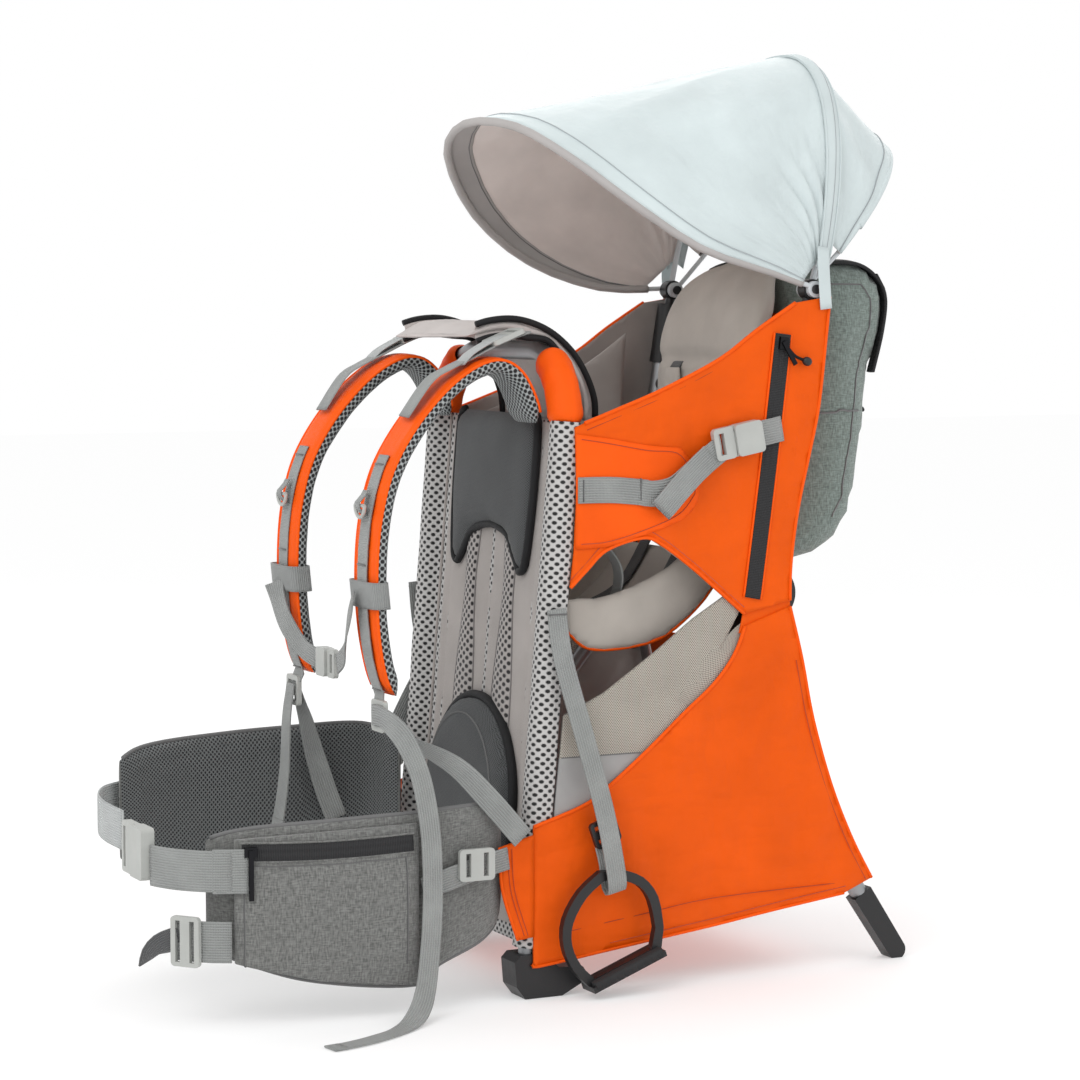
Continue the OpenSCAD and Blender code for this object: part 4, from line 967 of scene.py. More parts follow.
def linings():
    """Padded lining beside the child, with the gusset mesh below the leg opening."""
    for s, side in SIDES:
        bm = solid_copy("side_linings", lambda c: c.x * s > 0)
        cut(bm, 0.008, (1, 2))
        crown(bm, (-s, 0, 0), 0.016, 0.3, both=True)
        for v in bm.verts:
            v.co.x += s * MM * 0.9 * wrinkle(v.co, 0.04, 8)
        piece = to_object(bm, f"side_lining_{side}", ["taupe"], uv_side)
        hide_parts("side_linings")

        bm = solid_copy("mesh_gussets", lambda c: c.x * s > 0)
        cut(bm, 0.006, (1, 2))
        for v in bm.verts:
            v.co.x += s * MM * 0.7 * (wrinkle(v.co, 0.05, 6) + wrinkle(v.co, 0.02, 3) * 0.5)
        seam = 0.228
        piece = to_object(bm, f"gusset_{side}", ["gusset_mesh", "grey_cloth"], uv_side,
                          index=lambda c, n: int(c.z < seam + 0.0001))
        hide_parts("mesh_gussets")
        # The mesh runs on under the rim of the lower panel, up to the hinge
        line = resample(np.array([(150, 254)] + UPPER_HEM[4:] + [(232, 350)], float), 40)
        rows = []
        for i, ((y, z), (dy, dz)) in enumerate(zip(line, directions(line))):
            reach = 23 * math.sin(math.pi * i / 39) ** 0.8
            rows.append([P(s * (154.0 + 0.4 * wrinkle((0, y * MM, z * MM), 0.03)), y - dz * w,
                           z + dy * w) for w in np.linspace(-5, reach, 14)])
        strip = grid(f"gusset_rim_{side}", rows, mats=["gusset_mesh"], slot="mesh_cloth")
        thicken(strip, 0.0012)
        stitches(f"gusset_seam_{side}", [(33, 228), (60, 228), (90, 228), (118, 228)], s * 154.4,
                 "dark_thread", 0.6, slot="mesh_cloth")


side_panels()
leg_sleeves()
side_tabs()
linings()


# ---------- the wearer's side ----------


def section_points(profile, steps=5):
    """The whole profile of the front mesh: its left half and the same mirrored."""
    half = spline(profile, steps)
    other = half[:-1][::-1].copy()
    other[:, 0] *= -1
    return np.concatenate([half, other])


MESH_EDGE = [(153.2, -9), (153.9, -2), (153.4, 5), (150.2, 10.2), (145, 12.6), (138.5, 12.4),
             (131.5, 10), (127, 5), (123.5, 0.5), (118, -1.8), (111, -2.2), (60, -2.6), (0, -2.7)]


def front_panel():
    """Mesh stretched round both front legs, with the padded middle and its two channels."""
    profile = section_points(MESH_EDGE, 3)
    rows = []
    for up in np.linspace(24, 524, 84):
        row = []
        for x, out in profile:
            co = (x * MM, up * MM, 0)
            slack = 0.7 * wrinkle(co, 0.05, 1) if abs(x) > 110 else 0.0
            row.append(front_plane(x, up, out + slack))
        rows.append(row)
    panel = grid("front_mesh", rows, mats=["light_mesh"], slot="mesh_cloth",
                 replaces=["front_mesh_panel"])
    thicken(panel, 0.0016, -1)

    # Padded middle, between the bands of mesh
    rows = []
    for up in np.linspace(38, 522, 90):
        row = []
        for x in np.linspace(-117, 117, 64):
            edge = smoothstep(117 - abs(x), 0, 9)
            valley = peak(x, 7) * 1.4
            side = peak(abs(x) - 96, 4) * 0.9
            co = (x * MM, up * MM, 0)
            out = -2.9 + 3.0 * edge - valley - side + 0.35 * wrinkle(co, 0.03, 3)
            row.append(front_plane(x, up, out))
        rows.append(row)
    middle = grid("back_padding", rows, mats=["taupe"], slot="mesh_cloth")

    # Hourglass channels of open mesh
    for s, side in SIDES:
        rows = []
        for up in np.linspace(210, 520, 64):
            half = 22 - 10.5 * math.sin(math.pi * smoothstep(up, 215, 500)) ** 1.5
            row = []
            for k in np.linspace(-1, 1, 18):
                puff = math.sqrt(max(0, 1 - k * k))
                out = -0.6 + 4.6 * puff + 0.3 * wrinkle((k, up * 0.02, s), 0.4, 2)
                row.append(front_plane(s * 44 + k * half, up, out))
            rows.append(row)
        grid(f"channel_{side}", rows, mats=["column_mesh"], slot="mesh_cloth")
        for e in (-1, 1):
            line = [front_plane(s * 44 + e * (22 - 10.5 * math.sin(
                math.pi * smoothstep(up, 215, 500)) ** 1.5), up, 0.4)
                for up in np.linspace(210, 520, 48)]
            tube(f"channel_seam_{side}_{'in' if e < 0 else 'out'}", line, 0.9,
                 "taupe_dark", 6, slot="mesh_cloth")
        line = [front_plane(s * 118.5, up, 0.2) for up in np.linspace(26, 523, 80)]
        tube(f"mesh_seam_{side}", line, 1.5, "taupe", 8, slot="mesh_cloth")
        line = [front_plane(s * 153.5, up, -8.6) for up in np.linspace(24, 524, 80)]
        tube(f"mesh_edge_{side}", line, 1.1, "dark_thread", 6, slot="mesh_cloth")


def binding(name, outline, out, r):
    """Binding along an outline in the plane of the front frame."""
    line = [front_plane(x, z, out) for x, z in outline]
    route = resample(spline(line, 3), max(12, int(lengths(line)[-1] / 0.005)))
    return tube(name, route, r, "binding", slot="dark_cloth")


UPPER_PAD = [(0, 530), (78, 530), (90, 520), (91, 450), (84, 385), (72, 376), (40, 410), (0, 418)]


def back_pads():
    outward = front_plane(0, 0, 1) - front_plane(0, 0, 0)
    made = {}
    for node, radius, edge, puff in (("upper_back_pad", 0.020, 0.30, 0.004),
                                     ("lumbar_pad", 0.034, 0.16, 0.005)):
        bm = solid_copy(node)
        cut(bm, 0.0075, (0, 2))
        crown(bm, outward, radius, edge)
        pad = to_object(bm, f"{node}_cover", ["dark_mesh"], uv_front,
                        replaces=[node])
        inflate(pad, 3.0, 12, puff * 0.35)
        made[node] = pad
    binding("upper_pad_binding_left", UPPER_PAD[1:6], 4.0, 4.2)
    binding("upper_pad_binding_right", [(-x, z) for x, z in UPPER_PAD[1:6]], 3.5, 3.2)
    binding("upper_pad_binding_low", [(72, 376), (56, 393), (40, 410), (0, 418), (-40, 410),
                                           (-56, 393), (-72, 376)], 3.6, 3.8)
    dome = [(94 * math.cos(math.radians(a)), 150 + 98 * math.sin(math.radians(a)))
            for a in range(0, 181, 10)]
    binding("lumbar_binding", [(94, 92)] + dome + [(-94, 92)], 3.8, 4.6)
    inner = [(x * 0.80, 150 + (z - 150) * 0.82) for x, z in dome]
    line = [front_plane(x, z, 20) for x, z in [(76, 100)] + inner + [(-76, 100)]]
    line = snapped(made["lumbar_pad"], resample(spline(line, 3), 80))
    tube("lumbar_seam", line, 0.9, "dark_thread", 6, slot="dark_cloth")


def top_sleeves():
    """Puffy sleeves on the frame's top bends."""
    for s, side in SIDES:
        rows = []
        for t in np.linspace(0, 1, 30):
            a = math.radians(8 + 56 * t)
            c = (TUBE_X - 80, 590 - 80)
            ends = min(1.0, min(t, 1 - t) / 0.1)
            row = []
            for b in np.linspace(0, 2 * math.pi, 28, endpoint=False):
                pucker = 1.0 * wrinkle((t * 0.1, math.cos(b) * 0.02, math.sin(b) * 0.02), 0.014,
                                       s * 3)
                r = 11.5 + 5.4 * math.sqrt(ends) + pucker * ends
                row.append(front_plane(s * (c[0] + (80 + r * math.cos(b)) * math.cos(a)),
                                       c[1] + (80 + r * math.cos(b)) * math.sin(a),
                                       r * math.sin(b)))
            rows.append(row)
        sleeve = grid(f"top_sleeve_{side}", rows, closed=True, mats=["orange"],
                      slot="orange_cloth")
        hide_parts("front_top_sleeves")


CHEST_OUTER = [(-34, 634), (-12, 641), (14, 643), (38, 638), (60, 627), (80, 609), (94, 587),
               (102, 565), (103, 544)]
CHEST_INNER = [(-32, 618), (-12, 625), (8, 627), (30, 625), (52, 621.8), (66, 606), (75, 590),
               (84, 566), (86, 544)]


def chest_pad():
    """Pad folded over the top bar: soft rolled ends, bound in black at both sides."""
    outer = resample(spline(CHEST_OUTER, 6), 56)
    inner = resample(spline(CHEST_INNER, 6), 56)
    rows = []
    for i, (a, b) in enumerate(zip(outer, inner)):
        f = i / 55
        ends = math.sqrt(max(0.04, min(1, f / 0.10, (1 - f) / 0.04)))
        mid, half = (a + b) / 2, (a - b) / 2 * ends
        row = []
        for k in range(64):
            t = 2 * math.pi * (k + 0.5) / 64
            x = power(math.cos(t), 0.34)
            w = power(math.sin(t), 0.8)
            soft = 0.14 * wrinkle((x * 0.09, f * 0.22, w), 0.035, 3) if w > 0 else 0
            q = mid + half * w * (1.0 + soft)
            row.append(P(x * (86.5 - 3 * (1 - ends)), q[0], q[1]))
        rows.append(row)
    pad = grid("chest_pad_cover", rows, closed=True, caps=True, mats=["chest_cloth"],
               slot="mesh_cloth", replaces=["chest_pad"])
    inflate(pad, 3.0, 12, 0.0018)
    for s, side in SIDES:
        for k, line in enumerate((outer, inner)):
            trim = [P(s * 86.6, y, z) for y, z in line[3:-1]]
            tube(f"chest_binding_{k}_{side}", trim, 3.2, "binding", 10, slot="dark_cloth")
        rows = [[P(s * (85.6 - 3.2 * math.sin(math.pi * t)), a[0] + (b[0] - a[0]) * t,
                   a[1] + (b[1] - a[1]) * t) for t in np.linspace(0.1, 0.9, 8)]
                for a, b in zip(outer[3:-1], inner[3:-1])]
        grid(f"chest_end_{side}", rows, mats=["chest_cloth"], slot="dark_cloth")


# ---------- shoulder pads ----------

PAD_LINE = [(23, 545), (18, 565), (4, 590), (-16, 601), (-42, 594), (-72, 572), (-102, 538),
            (-124, 500), (-136, 455), (-140, 405), (-138, 355), (-131, 315), (-122, 292)]


def shoulder_pads():
    """Curved padded straps: orange outside, mesh against the body, piped along both edges."""
    line = resample(spline(PAD_LINE, 8), 96)
    for s, side in SIDES:
        route = [P(s * 100.5, y, z) for y, z in line]
        count = 40
        run = directions(route)
        total = lengths(route)[-1]
        rows = []
        for i, p in enumerate(route):
            t = i / (len(route) - 1)
            end = fade(1 - t, 0.035, 0.02) * fade(t, 0.03, 0.05)
            half_w = 27.2 * (1 - 0.13 * smoothstep(t, 0.72, 1.0)) * min(1, 0.75 + 0.25 * end)
            out = Vector(np.cross((1, 0, 0), run[i]))
            row = []
            for k in range(count):
                a = 2 * math.pi * (k + 0.5) / count
                c, q = math.cos(a), math.sin(a)
                u = power(c, 0.55)
                w = power(q, 0.8)
                lump = 0.5 * wrinkle((t * total, u * 0.02, w * 0.01), 0.018, s * 2)
                groove = 0.9 * peak(abs(u) - 0.78, 0.07)
                row.append(p + Vector((1, 0, 0)) * s * u * half_w * MM
                           + out * w * ((10.2 if w > 0 else 6.4) * end - groove
                                        + lump * end) * MM)
            rows.append(row)
        pad = grid(f"shoulder_pad_{side}", rows, closed=True, caps=True,
                   mats=["orange", "pad_mesh"], slot="dark_cloth",
                   index=lambda i, k: 0 if math.sin(2 * math.pi * (k + 1) / count) < -0.42 else 1)
        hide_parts("shoulder_pads")
        inflate(pad, 2.0, 8, 0.0008)
        for e, edge in ((1, "out"), (-1, "in")):
            rim = []
            for i, p in enumerate(route[2:-2]):
                t = (i + 2) / (len(route) - 1)
                half_w = 27.0 * (1 - 0.13 * smoothstep(t, 0.72, 1.0))
                out = Vector(np.cross((1, 0, 0), run[i + 2]))
                rim.append(p + Vector((s * e * (half_w - 1.2) * MM, 0, 0)) - out * 3.6 * MM)
            tube(f"shoulder_piping_{edge}_{side}", rim, 1.5, "orange", 8, slot="orange_cloth")


front_panel()
back_pads()
top_sleeves()
chest_pad()
shoulder_pads()


# ---------- canopy ----------

BRIM = [
    (151.4, 306, 674), (154, 259, 688), (155, 180, 711), (148, 108, 754), (122, 58, 795),
    (74, 23, 826), (8, 1, 831), (-58, 12, 804), (-115, 68, 747), (-145, 145, 700),
    (-156, 232, 674), (-151.4, 306, 673),
]
BRIM_LINE = spline(points(BRIM), 3)
MIDDLE = np.array(P(0, 250, 680))


def hoop(s, width, height, lean):
    """Point of a hoop, s from 0 at the left hub to 1 at the right one."""
    t = math.pi * s
    a = math.radians(lean)
    r = height * math.sin(t) ** 0.88
    return np.array(P(width * power(math.cos(t), 0.88),
                      CANOPY_BASE[0] + r * math.cos(a), CANOPY_BASE[1] + r * math.sin(a)))


def main_hoop(s):
    return hoop(s, 147, 240, 77)


def rear_hoop(s):
    return hoop(s, 140, 212, 45)


def brim_at(s):
    q = s * (len(BRIM_LINE) - 1)
    i = min(int(q), len(BRIM_LINE) - 2)
    return BRIM_LINE[i] + (BRIM_LINE[i + 1] - BRIM_LINE[i]) * (q - i)


def above(p, d):
    """p moved d mm out of the canopy."""
    o = p - MIDDLE
    return p + o / np.linalg.norm(o) * d * MM


def front_at(s, u, lift=4.6):
    """The stretched sun cover: straight from hoop to brim, slack between, with its folds."""
    a, b = main_hoop(s), brim_at(s)
    p = a + (b - a) * u
    free = math.sin(math.pi * min(1, u)) ** 0.8
    x = s - 0.5
    ridge = (peak(x - 0.16 * u, 0.022) + 0.8 * peak(x + 0.13 * u, 0.02)
             + 0.7 * peak(x - 0.30 * u, 0.018))
    side = peak(abs(x) - 0.36, 0.07) * peak(u - 0.22, 0.16)
    fold = side * math.sin(60 * u + 34 * abs(x)) * 3.2
    soft = 2.4 * wrinkle((x * 0.6, u * 0.35, 0), 0.07, 2)
    sag = -3.2 * math.sin(math.pi * s) ** 0.5
    return above(p, lift + free * (sag + 4.2 * ridge + soft) + 1.7 * fold * free)


def rear_at(s, u, lift=4.6):
    a, b = main_hoop(s), rear_hoop(s)
    p = a + (b - a) * u
    free = math.sin(math.pi * min(1, max(0, u))) ** 0.8
    x = s - 0.5
    fold = 2.6 * math.sin(46 * x + 5 * u) * peak(abs(x) - 0.30, 0.14)
    soft = 1.3 * wrinkle((x * 0.6, u * 0.2, 1), 0.05, 6)
    return above(p, lift + free * (fold + soft - 2.0))


def canopy():
    def reach(degrees):
        a = math.radians(degrees)
        return P(0, 310 + 150 * math.cos(a), 671 + 150 * math.sin(a))

    main_end, brim_end, rear_end = reach(77), reach(156), reach(45)

    def blended(obj):
        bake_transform(obj)
        return obj

    for name, at, lo, hi, rows, other, end in (
        ("front", front_at, 0.035, 0.965, 44, "canopy_brim", brim_end),
        ("rear", rear_at, 0.06, 0.94, 24, "canopy_rear", rear_end),
    ):
        last = 0.985 if name == "front" else 0.995
        cols = np.linspace(lo, hi, 88)
        # The inner face takes the brightened lining, painted light for daylight coming through the
        # canopy.
        cover = grid(f"canopy_{name}_cloth", [[at(s, u) for s in cols]
                                              for u in np.linspace(0.0, last, rows)],
                     mats=["canopy", "canopy_in_lit"], body=None, slot="canopy_cloth",
                     replaces=[f"canopy_{name}_cover"])
        # The grid's faces look inwards or outwards depending on its order: turn them out
        mesh = cover.data
        f = mesh.polygons[len(mesh.polygons) // 2]
        if f.normal.dot(Vector(np.array(f.center) - MIDDLE)) < 0:
            mesh.flip_normals()
        thicken(cover, 0.0012, -1, material_offset=1, material_offset_rim=0)
        blended(cover)

        # Hem band under the edge, its stitching and the piped rim
        u0 = 0.915 if name == "front" else 0.86
        band = grid(f"canopy_{name}_hem", [[above(at(s, u, 4.6), -2.1 - 0.5 * wrinkle(
            (s, u, 0), 0.02, 1)) for s in cols] for u in np.linspace(u0, last, 8)],
            mats=["canopy_hem"], body=None, slot="canopy_cloth")
        thicken(band, 0.0008)
        blended(band)
        for k, (u, lift, mat, r) in enumerate((
                (u0 + 0.004, 5.3, "pale_thread", 0.55), (u0 + 0.012, 2.0, "dark_thread", 0.6))):
            line = [at(s, u, lift) for s in cols]
            blended(tube(f"canopy_{name}_stitch_{k}", line, r, mat, 6, body=None,
                         slot="canopy_cloth"))
    edge = [above(brim_at(s), 0.2) for s in np.linspace(0.03, 0.97, 110)]
    tube("canopy_brim_piping", edge, 4.1, "canopy_hem", 12, body="canopy_brim",
         slot="canopy_cloth")
    edge = [above(rear_hoop(s), 0.2) for s in np.linspace(0.12, 0.88, 90)]
    tube("canopy_rear_piping", edge, 4.2, "canopy", 12, body="canopy_rear", slot="canopy_cloth")

    # Sleeve that holds the main hoop, with its binding
    cols = np.linspace(0.03, 0.97, 110)
    rows = []
    for s in cols:
        a = main_hoop(s)
        f, r = brim_at(s) - a, rear_hoop(s) - a
        f, r = f / np.linalg.norm(f), r / np.linalg.norm(r)
        row = []
        for q in (-11, -10.6, -7, -3.5, -1, 1, 3.5, 7, 10.6, 11):
            p = a + (f if q < 0 else r) * abs(q) * MM
            lift = 6.3 - 0.4 * abs(q) / 11 - (0.9 if abs(q) > 10.8 else 0)
            row.append(above(p, lift + 0.25 * wrinkle(p, 0.012, 4)))
        rows.append(row)
    band = grid("canopy_hoop_sleeve", rows, mats=["canopy_band"], body="canopy",
                slot="canopy_cloth")
    thicken(band, 0.0009)
    for k, q in enumerate((-10.5, 10.5, 2.5)):
        line = []
        for s in cols:
            a = main_hoop(s)
            d = (brim_at(s) if q < 0 else rear_hoop(s)) - a
            line.append(above(a + d / np.linalg.norm(d) * abs(q) * MM, 6.6))
        tube(f"canopy_sleeve_edge_{k}", line, 0.9 if k < 2 else 0.5,
             "canopy_band" if k < 2 else "pale_thread", 8, body="canopy",
             slot="canopy_cloth")
    inner = [above(main_hoop(s), -0.6) for s in np.linspace(0.07, 0.93, 110)]
    tube("canopy_hoop_pocket", inner, 4.0, "canopy_hem", 12, body="canopy", slot="canopy_cloth")
    for s, side in SIDES:
        strap(f"canopy_tail_{side}", [(s * 156, 317, 712), (s * 160.3, 315, 694),
                                      (s * 161.2, 316, 672), (s * 160.6, 318, 652)],
              (0, 1, 0), (0, 1, 0.1), 13, "canopy_band", 1.4, "canopy_cloth", body="canopy")


# ---------- shoulder webbing ----------


def webbing_pieces():
    line = resample(spline(PAD_LINE, 8), 96)
    run = directions(line)
    for s, side in SIDES:
        route = []
        for i in range(46, 95):
            n = np.array([-run[i][1], run[i][0]])
            n = n if n[0] < 0 else -n
            q = line[i] + n * (6.5 + 1.2 + 0.35 * wrinkle((i * 0.01, 0, s), 0.03))
            route.append(P(s * 101, q[0], q[1]))
        route += points([(s * 104, -133.0, 286), (s * 107, -133.6, 280), (s * 108.5, -133.8, 274)])
        obj = sweep(f"pad_webbing_{side}", route, [(1, 0, 0)] * len(route), section(22, 1.9),
                    mats=["webbing"], slot="webbing")
        if s > 0:
            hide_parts("shoulder_webbing")
        # Bar tacks that hold it on the pad
        for k, i in enumerate((2, 22, 47)):
            p, t = route[i], (route[min(i + 1, 48)] - route[i - 1]).normalized()
            out = Vector(np.cross(t, (1, 0, 0)))
            out = out if out.y < 0 else -out
            tack = [p + Vector((x * MM, 0, 0)) + out * 1.25 * MM for x in (-9.5, 0, 9.5)]
            tube(f"pad_tack_{k}_{side}", tack, 0.9, "dark_thread", 6, slot="webbing")
        # Load lifter, from the lock on the crest down to the pad
        strap(f"load_lifter_{side}", [(s * 107, 19, 630.5), (s * 107, -12, 620),
                                      (s * 107, -40, 607), (s * 106, -62, 597),
                                      (s * 105, -82, 585), (s * 103, -106, 552)],
              (1, 0, 0), (1, 0, 0), 24)
        strap(f"lifter_tail_{side}", [(s * 107, -6, 627.5), (s * 108, -24, 620),
                                      (s * 109, -42, 610), (s * 110, -52, 600)],
              (1, 0, 0), (1, 0, 0), 22, "webbing_light")
        # Wrap that carries the sternum strap
        ring = []
        for k in range(40):
            a = 2 * math.pi * k / 40
            c, q = math.cos(a), math.sin(a)
            ring.append((100.5 + 30.3 * power(c, 0.4), -140 + 10.4 * power(q, 0.55)))
        rows = [[P(s * x, y - 0.10 * (z - 387), z) for x, y in ring]
                for z in np.linspace(374.5, 399.5, 8)]
        wrap = grid(f"sternum_wrap_{side}", rows, closed=True, mats=["webbing_across"],
                    slot="webbing")
        thicken(wrap, 0.0018, -1)
        # Keeper of the ring
        strap(f"ring_keeper_{side}", [(s * 100, -142.5, 458), (s * 100, -148, 464),
                                      (s * 100, -152.6, 469), (s * 100, -151.6, 474),
                                      (s * 100, -147, 478), (s * 100, -143.5, 484)],
              (1, 0, 0), (1, 0, 0), 11, thick=1.6)
    strap("lower_webbing_left", [(109, -131, 272), (110, -127, 262), (124, -104, 246),
                                 (150, -74, 226), (166, -48, 196), (167.5, -14, 157)],
          (1, 0, 0), (0, 0.75, 0.65), 22)
    strap("lower_webbing_right", [(-108, -131, 272), (-108, -128, 262), (-118, -118, 240),
                                  (-126, -106, 205), (-130, -92, 165), (-132, -80, 136)],
          (1, 0, 0), (0.2, 1, 0.4), 22)
    left = strap("sternum_strap_left", [(102, -157.5, 385), (80, -155, 352), (54, -147, 326),
                                        (24, -142, 313)],
                 (0.5, 0, 1), (0, 0, 1), 20, body=None, replaces=["sternum_strap"])
    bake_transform(left)
    strap("sternum_strap_right", [(-102, -157.5, 382), (-82, -155, 348), (-56, -147, 322),
                                  (-26, -142, 313)],
          (-0.5, 0, 1), (0, 0, 1), 20)


# ---------- hip belt ----------

WING_LINE = [(105, -22), (132, -27), (149, -44), (157, -80), (160, -125), (158, -180),
             (151, -235), (138, -285), (122, -312)]
WING_TOP = [(-10, 176), (-44, 190), (-121, 189), (-196, 187), (-283, 182), (-330, 166)]
WING_LOW = [(-10, 84), (-50, 60), (-96, 43), (-121, 26), (-216, 37), (-275, 55), (-330, 80)]


def at_y(line, y):
    pts = sorted((a, b) for a, b in spline(line, 6))
    return float(np.interp(y, [p[0] for p in pts], [p[1] for p in pts]))


def hip_belt():
    line = resample(spline(WING_LINE, 6), 76)
    run = directions(line)
    count = 60
    for s, side, up in ((1, "left", 0), (-1, "right", 40)):
        rows, top, low = [], [], []
        for i, (c, t) in enumerate(zip(line, run)):
            n = np.array([-t[1], t[0]])
            f = i / (len(line) - 1)
            ends = fade(f, 0.05, 0.04) * fade(1 - f, 0.06, 0.05)
            zt, zb = at_y(WING_TOP, c[1]) - 1.5, at_y(WING_LOW, c[1]) + 1.5
            mid, half = (zt + zb) / 2, (zt - zb) / 2 * (0.97 + 0.03 * ends)
            row = []
            for k in range(count):
                a = 2 * math.pi * (k + 0.5) / count
                cz, sw = math.cos(a), math.sin(a)
                z = mid + half * power(cz, 0.42)
                w = power(sw, 0.75)
                co = (f * 0.35, z * MM, w)
                puff = 1.7 * wrinkle(co, 0.05, 3 + s) if w < 0 else 0.5 * wrinkle(co, 0.05, 5)
                pucker = 2.2 * wrinkle((f * 0.35, 0, s), 0.016, 7) * peak(zt - z, 12)
                out = w * (6.6 * ends + (2.0 if w < 0 else 0.0) * ends) + (puff + pucker) * abs(
                    w) * ends * (1.0 if w < 0 else 0.5)
                row.append(P(s * (c[0] + n[0] * out), c[1] + n[1] * out, z + up))
            rows.append(row)
            top.append(P(s * c[0], c[1], mid + half + up + 0.4))
            low.append(P(s * c[0], c[1], mid - half + up - 0.4))
        wing = grid(f"hip_wing_{side}", rows, closed=True, caps=True,
                    mats=["wing_mesh", "heather"], slot="dark_cloth",
                    index=lambda i, k: 1 if math.sin(2 * math.pi * (k + 1) / count) > 0 else 0)
        if s > 0:
            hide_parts("hip_wings")
        inflate(wing, 2.0, 8, 0.0006)
        for name, edge in (("top", top), ("low", low)):
            tube(f"wing_binding_{name}_{side}", edge[2:-1], 2.3, "grey_binding", 8,
                 slot="dark_cloth")
        hip_pocket(s, side, up)
    # Ribbed webbing from the wing to the buckles
    near = [(157.5, -300), (148, -319), (128, -339), (106, -351), (94, -355)]
    low = [(156, -300), (146, -318), (128, -335), (116, -342)]
    far = [(-147, -300), (-122, -328), (-80, -348), (-30, -358), (28, -359)]
    for name, route, z in (("near", near, 147), ("low", low, 82), ("far", far, 169)):
        moving = name == "far"
        obj = strap(f"belt_webbing_{name}", [(x, y, z) for x, y in route], (0, 0, 1), (0, 0, 1),
                    38, "webbing_light" if moving else "webbing", 2.4,
                    body=None if moving else "frame")
        if moving:
            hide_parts("belt_webbing")
            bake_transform(obj)
    strap("belt_tail_low", [(126, -338, 84), (112, -349, 78), (100, -356, 68), (92, -359, 58)],
          (0.25, -0.2, 1), (0.8, -0.3, 0.55), 24, "dark_webbing", 2.0)
    strap("belt_patch", [(162.6, -286, 147), (158.2, -299, 147), (150.5, -316, 147)],
          (0, 0, 1), (0, 0, 1), 41, thick=1.4)
    for s, side, up in ((1, "left", 0), (-1, "right", 30)):
        strap(f"belt_stabiliser_{side}", [(s * 161, -26, 138 + up), (s * 168, -70, 130 + up),
                                          (s * 171.5, -118, 118 + up)],
              (0, 0.2, 1), (0, 0.2, 1), 22)
    strap("lift_strap_right", [(-158, 36, 287), (-158, 14, 250), (-157, -6, 212),
                               (-157, -14, 192)],
          (0, 1, 0.4), (0, 1, 0.4), 22)


POCKET_FACE = ((177.5, -124), (157, -297))
POCKET_DIR = np.array([157 - 177.5, -297 + 124]) / math.hypot(20.5, 173)


def hip_pocket(s, side, up):
    """Zipped pocket: the belly hangs below the zip, with a gusset seam near each end."""
    normal = Vector((s * 0.993, -0.1177, 0))
    bm = solid_copy("hip_pockets", lambda c: c.x * s > 0)
    cut(bm, 0.006, (1, 2))
    face = P(s * POCKET_FACE[0][0], POCKET_FACE[0][1], 0).dot(normal)
    for v in bm.verts:
        y, z = v.co.y / MM + ORIGIN_Y, v.co.z / MM - up
        along = (-124 - y) / 173
        depth = (face - v.co.dot(normal)) / MM
        near = max(0.0, 1 - depth / 9)
        h = (z - 35) / 140
        edge = min(smoothstep(along, 0.0, 0.10), smoothstep(1 - along, 0.0, 0.10))
        belly = math.sin(math.pi * min(1, max(0, h * 0.82 + 0.14))) ** 1.2
        belly *= 1 - 0.8 * smoothstep(h, 0.72, 0.9)
        soft = wrinkle((0, y * MM, z * MM), 0.045, 4 + s) * 1.5 + wrinkle(
            (0, y * MM, z * MM), 0.02, 9) * 0.6
        seam = peak(along - 0.06, 0.012)
        corner = 3.5 * (1 - smoothstep(h, 0.0, 0.12)) + 2.0 * smoothstep(h, 0.93, 1.0)
        v.co += normal * MM * near * (edge * (belly * 5.5 + soft * (1 - smoothstep(
            h, 0.75, 0.95))) - 1.2 * seam - corner - 2.5 * (1 - edge))
    pocket = to_object(bm, f"hip_pocket_{side}", ["heather"], lambda co, n: (
        co.y + (co.x if abs(n.x) < 0.6 else 0), co.z))
    if s > 0:
        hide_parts("hip_pockets")
    a, b = (np.array(POCKET_FACE[k], float) for k in (0, 1))
    out = np.array([0.993, -0.1177])

    def on_face(t, z, lift):
        q = a + (b - a) * t + out * lift
        return P(s * q[0], q[1], z + up)

    zip_line = [on_face(t, 164 - 3.2 * math.sin(math.pi * t), 0.95)
                for t in np.linspace(0.035, 0.965, 40)]
    sweep(f"pocket_zip_{side}", zip_line, [(0, 0, 1)] * 40, section(15, 1.2, 8),
          mats=["zip"], slot="zip_tape")
    for k, z in enumerate((155.5, 172.8)):
        line = [on_face(t, z - 3.2 * math.sin(math.pi * t), 1.0)
                for t in np.linspace(0.03, 0.97, 30)]
        tube(f"pocket_zip_edge_{k}_{side}", line, 0.8, "heather", 6, slot="dark_cloth")
    for k, t in enumerate((0.06, 0.975)):
        line = snapped(pocket, [on_face(t, z, 8) for z in np.linspace(50, 152, 30)], 0.2)
        tube(f"pocket_seam_{k}_{side}", line, 0.8, "dark_thread", 6, slot="dark_cloth")
    line = snapped(pocket, [on_face(t, 152.5 - 3.2 * math.sin(math.pi * t), 8)
                            for t in np.linspace(0.05, 0.95, 50)], 0.2)
    tube(f"pocket_stitch_0_{side}", line, 0.5, "dark_thread", 6, slot="dark_cloth")


# ---------- child seat ----------

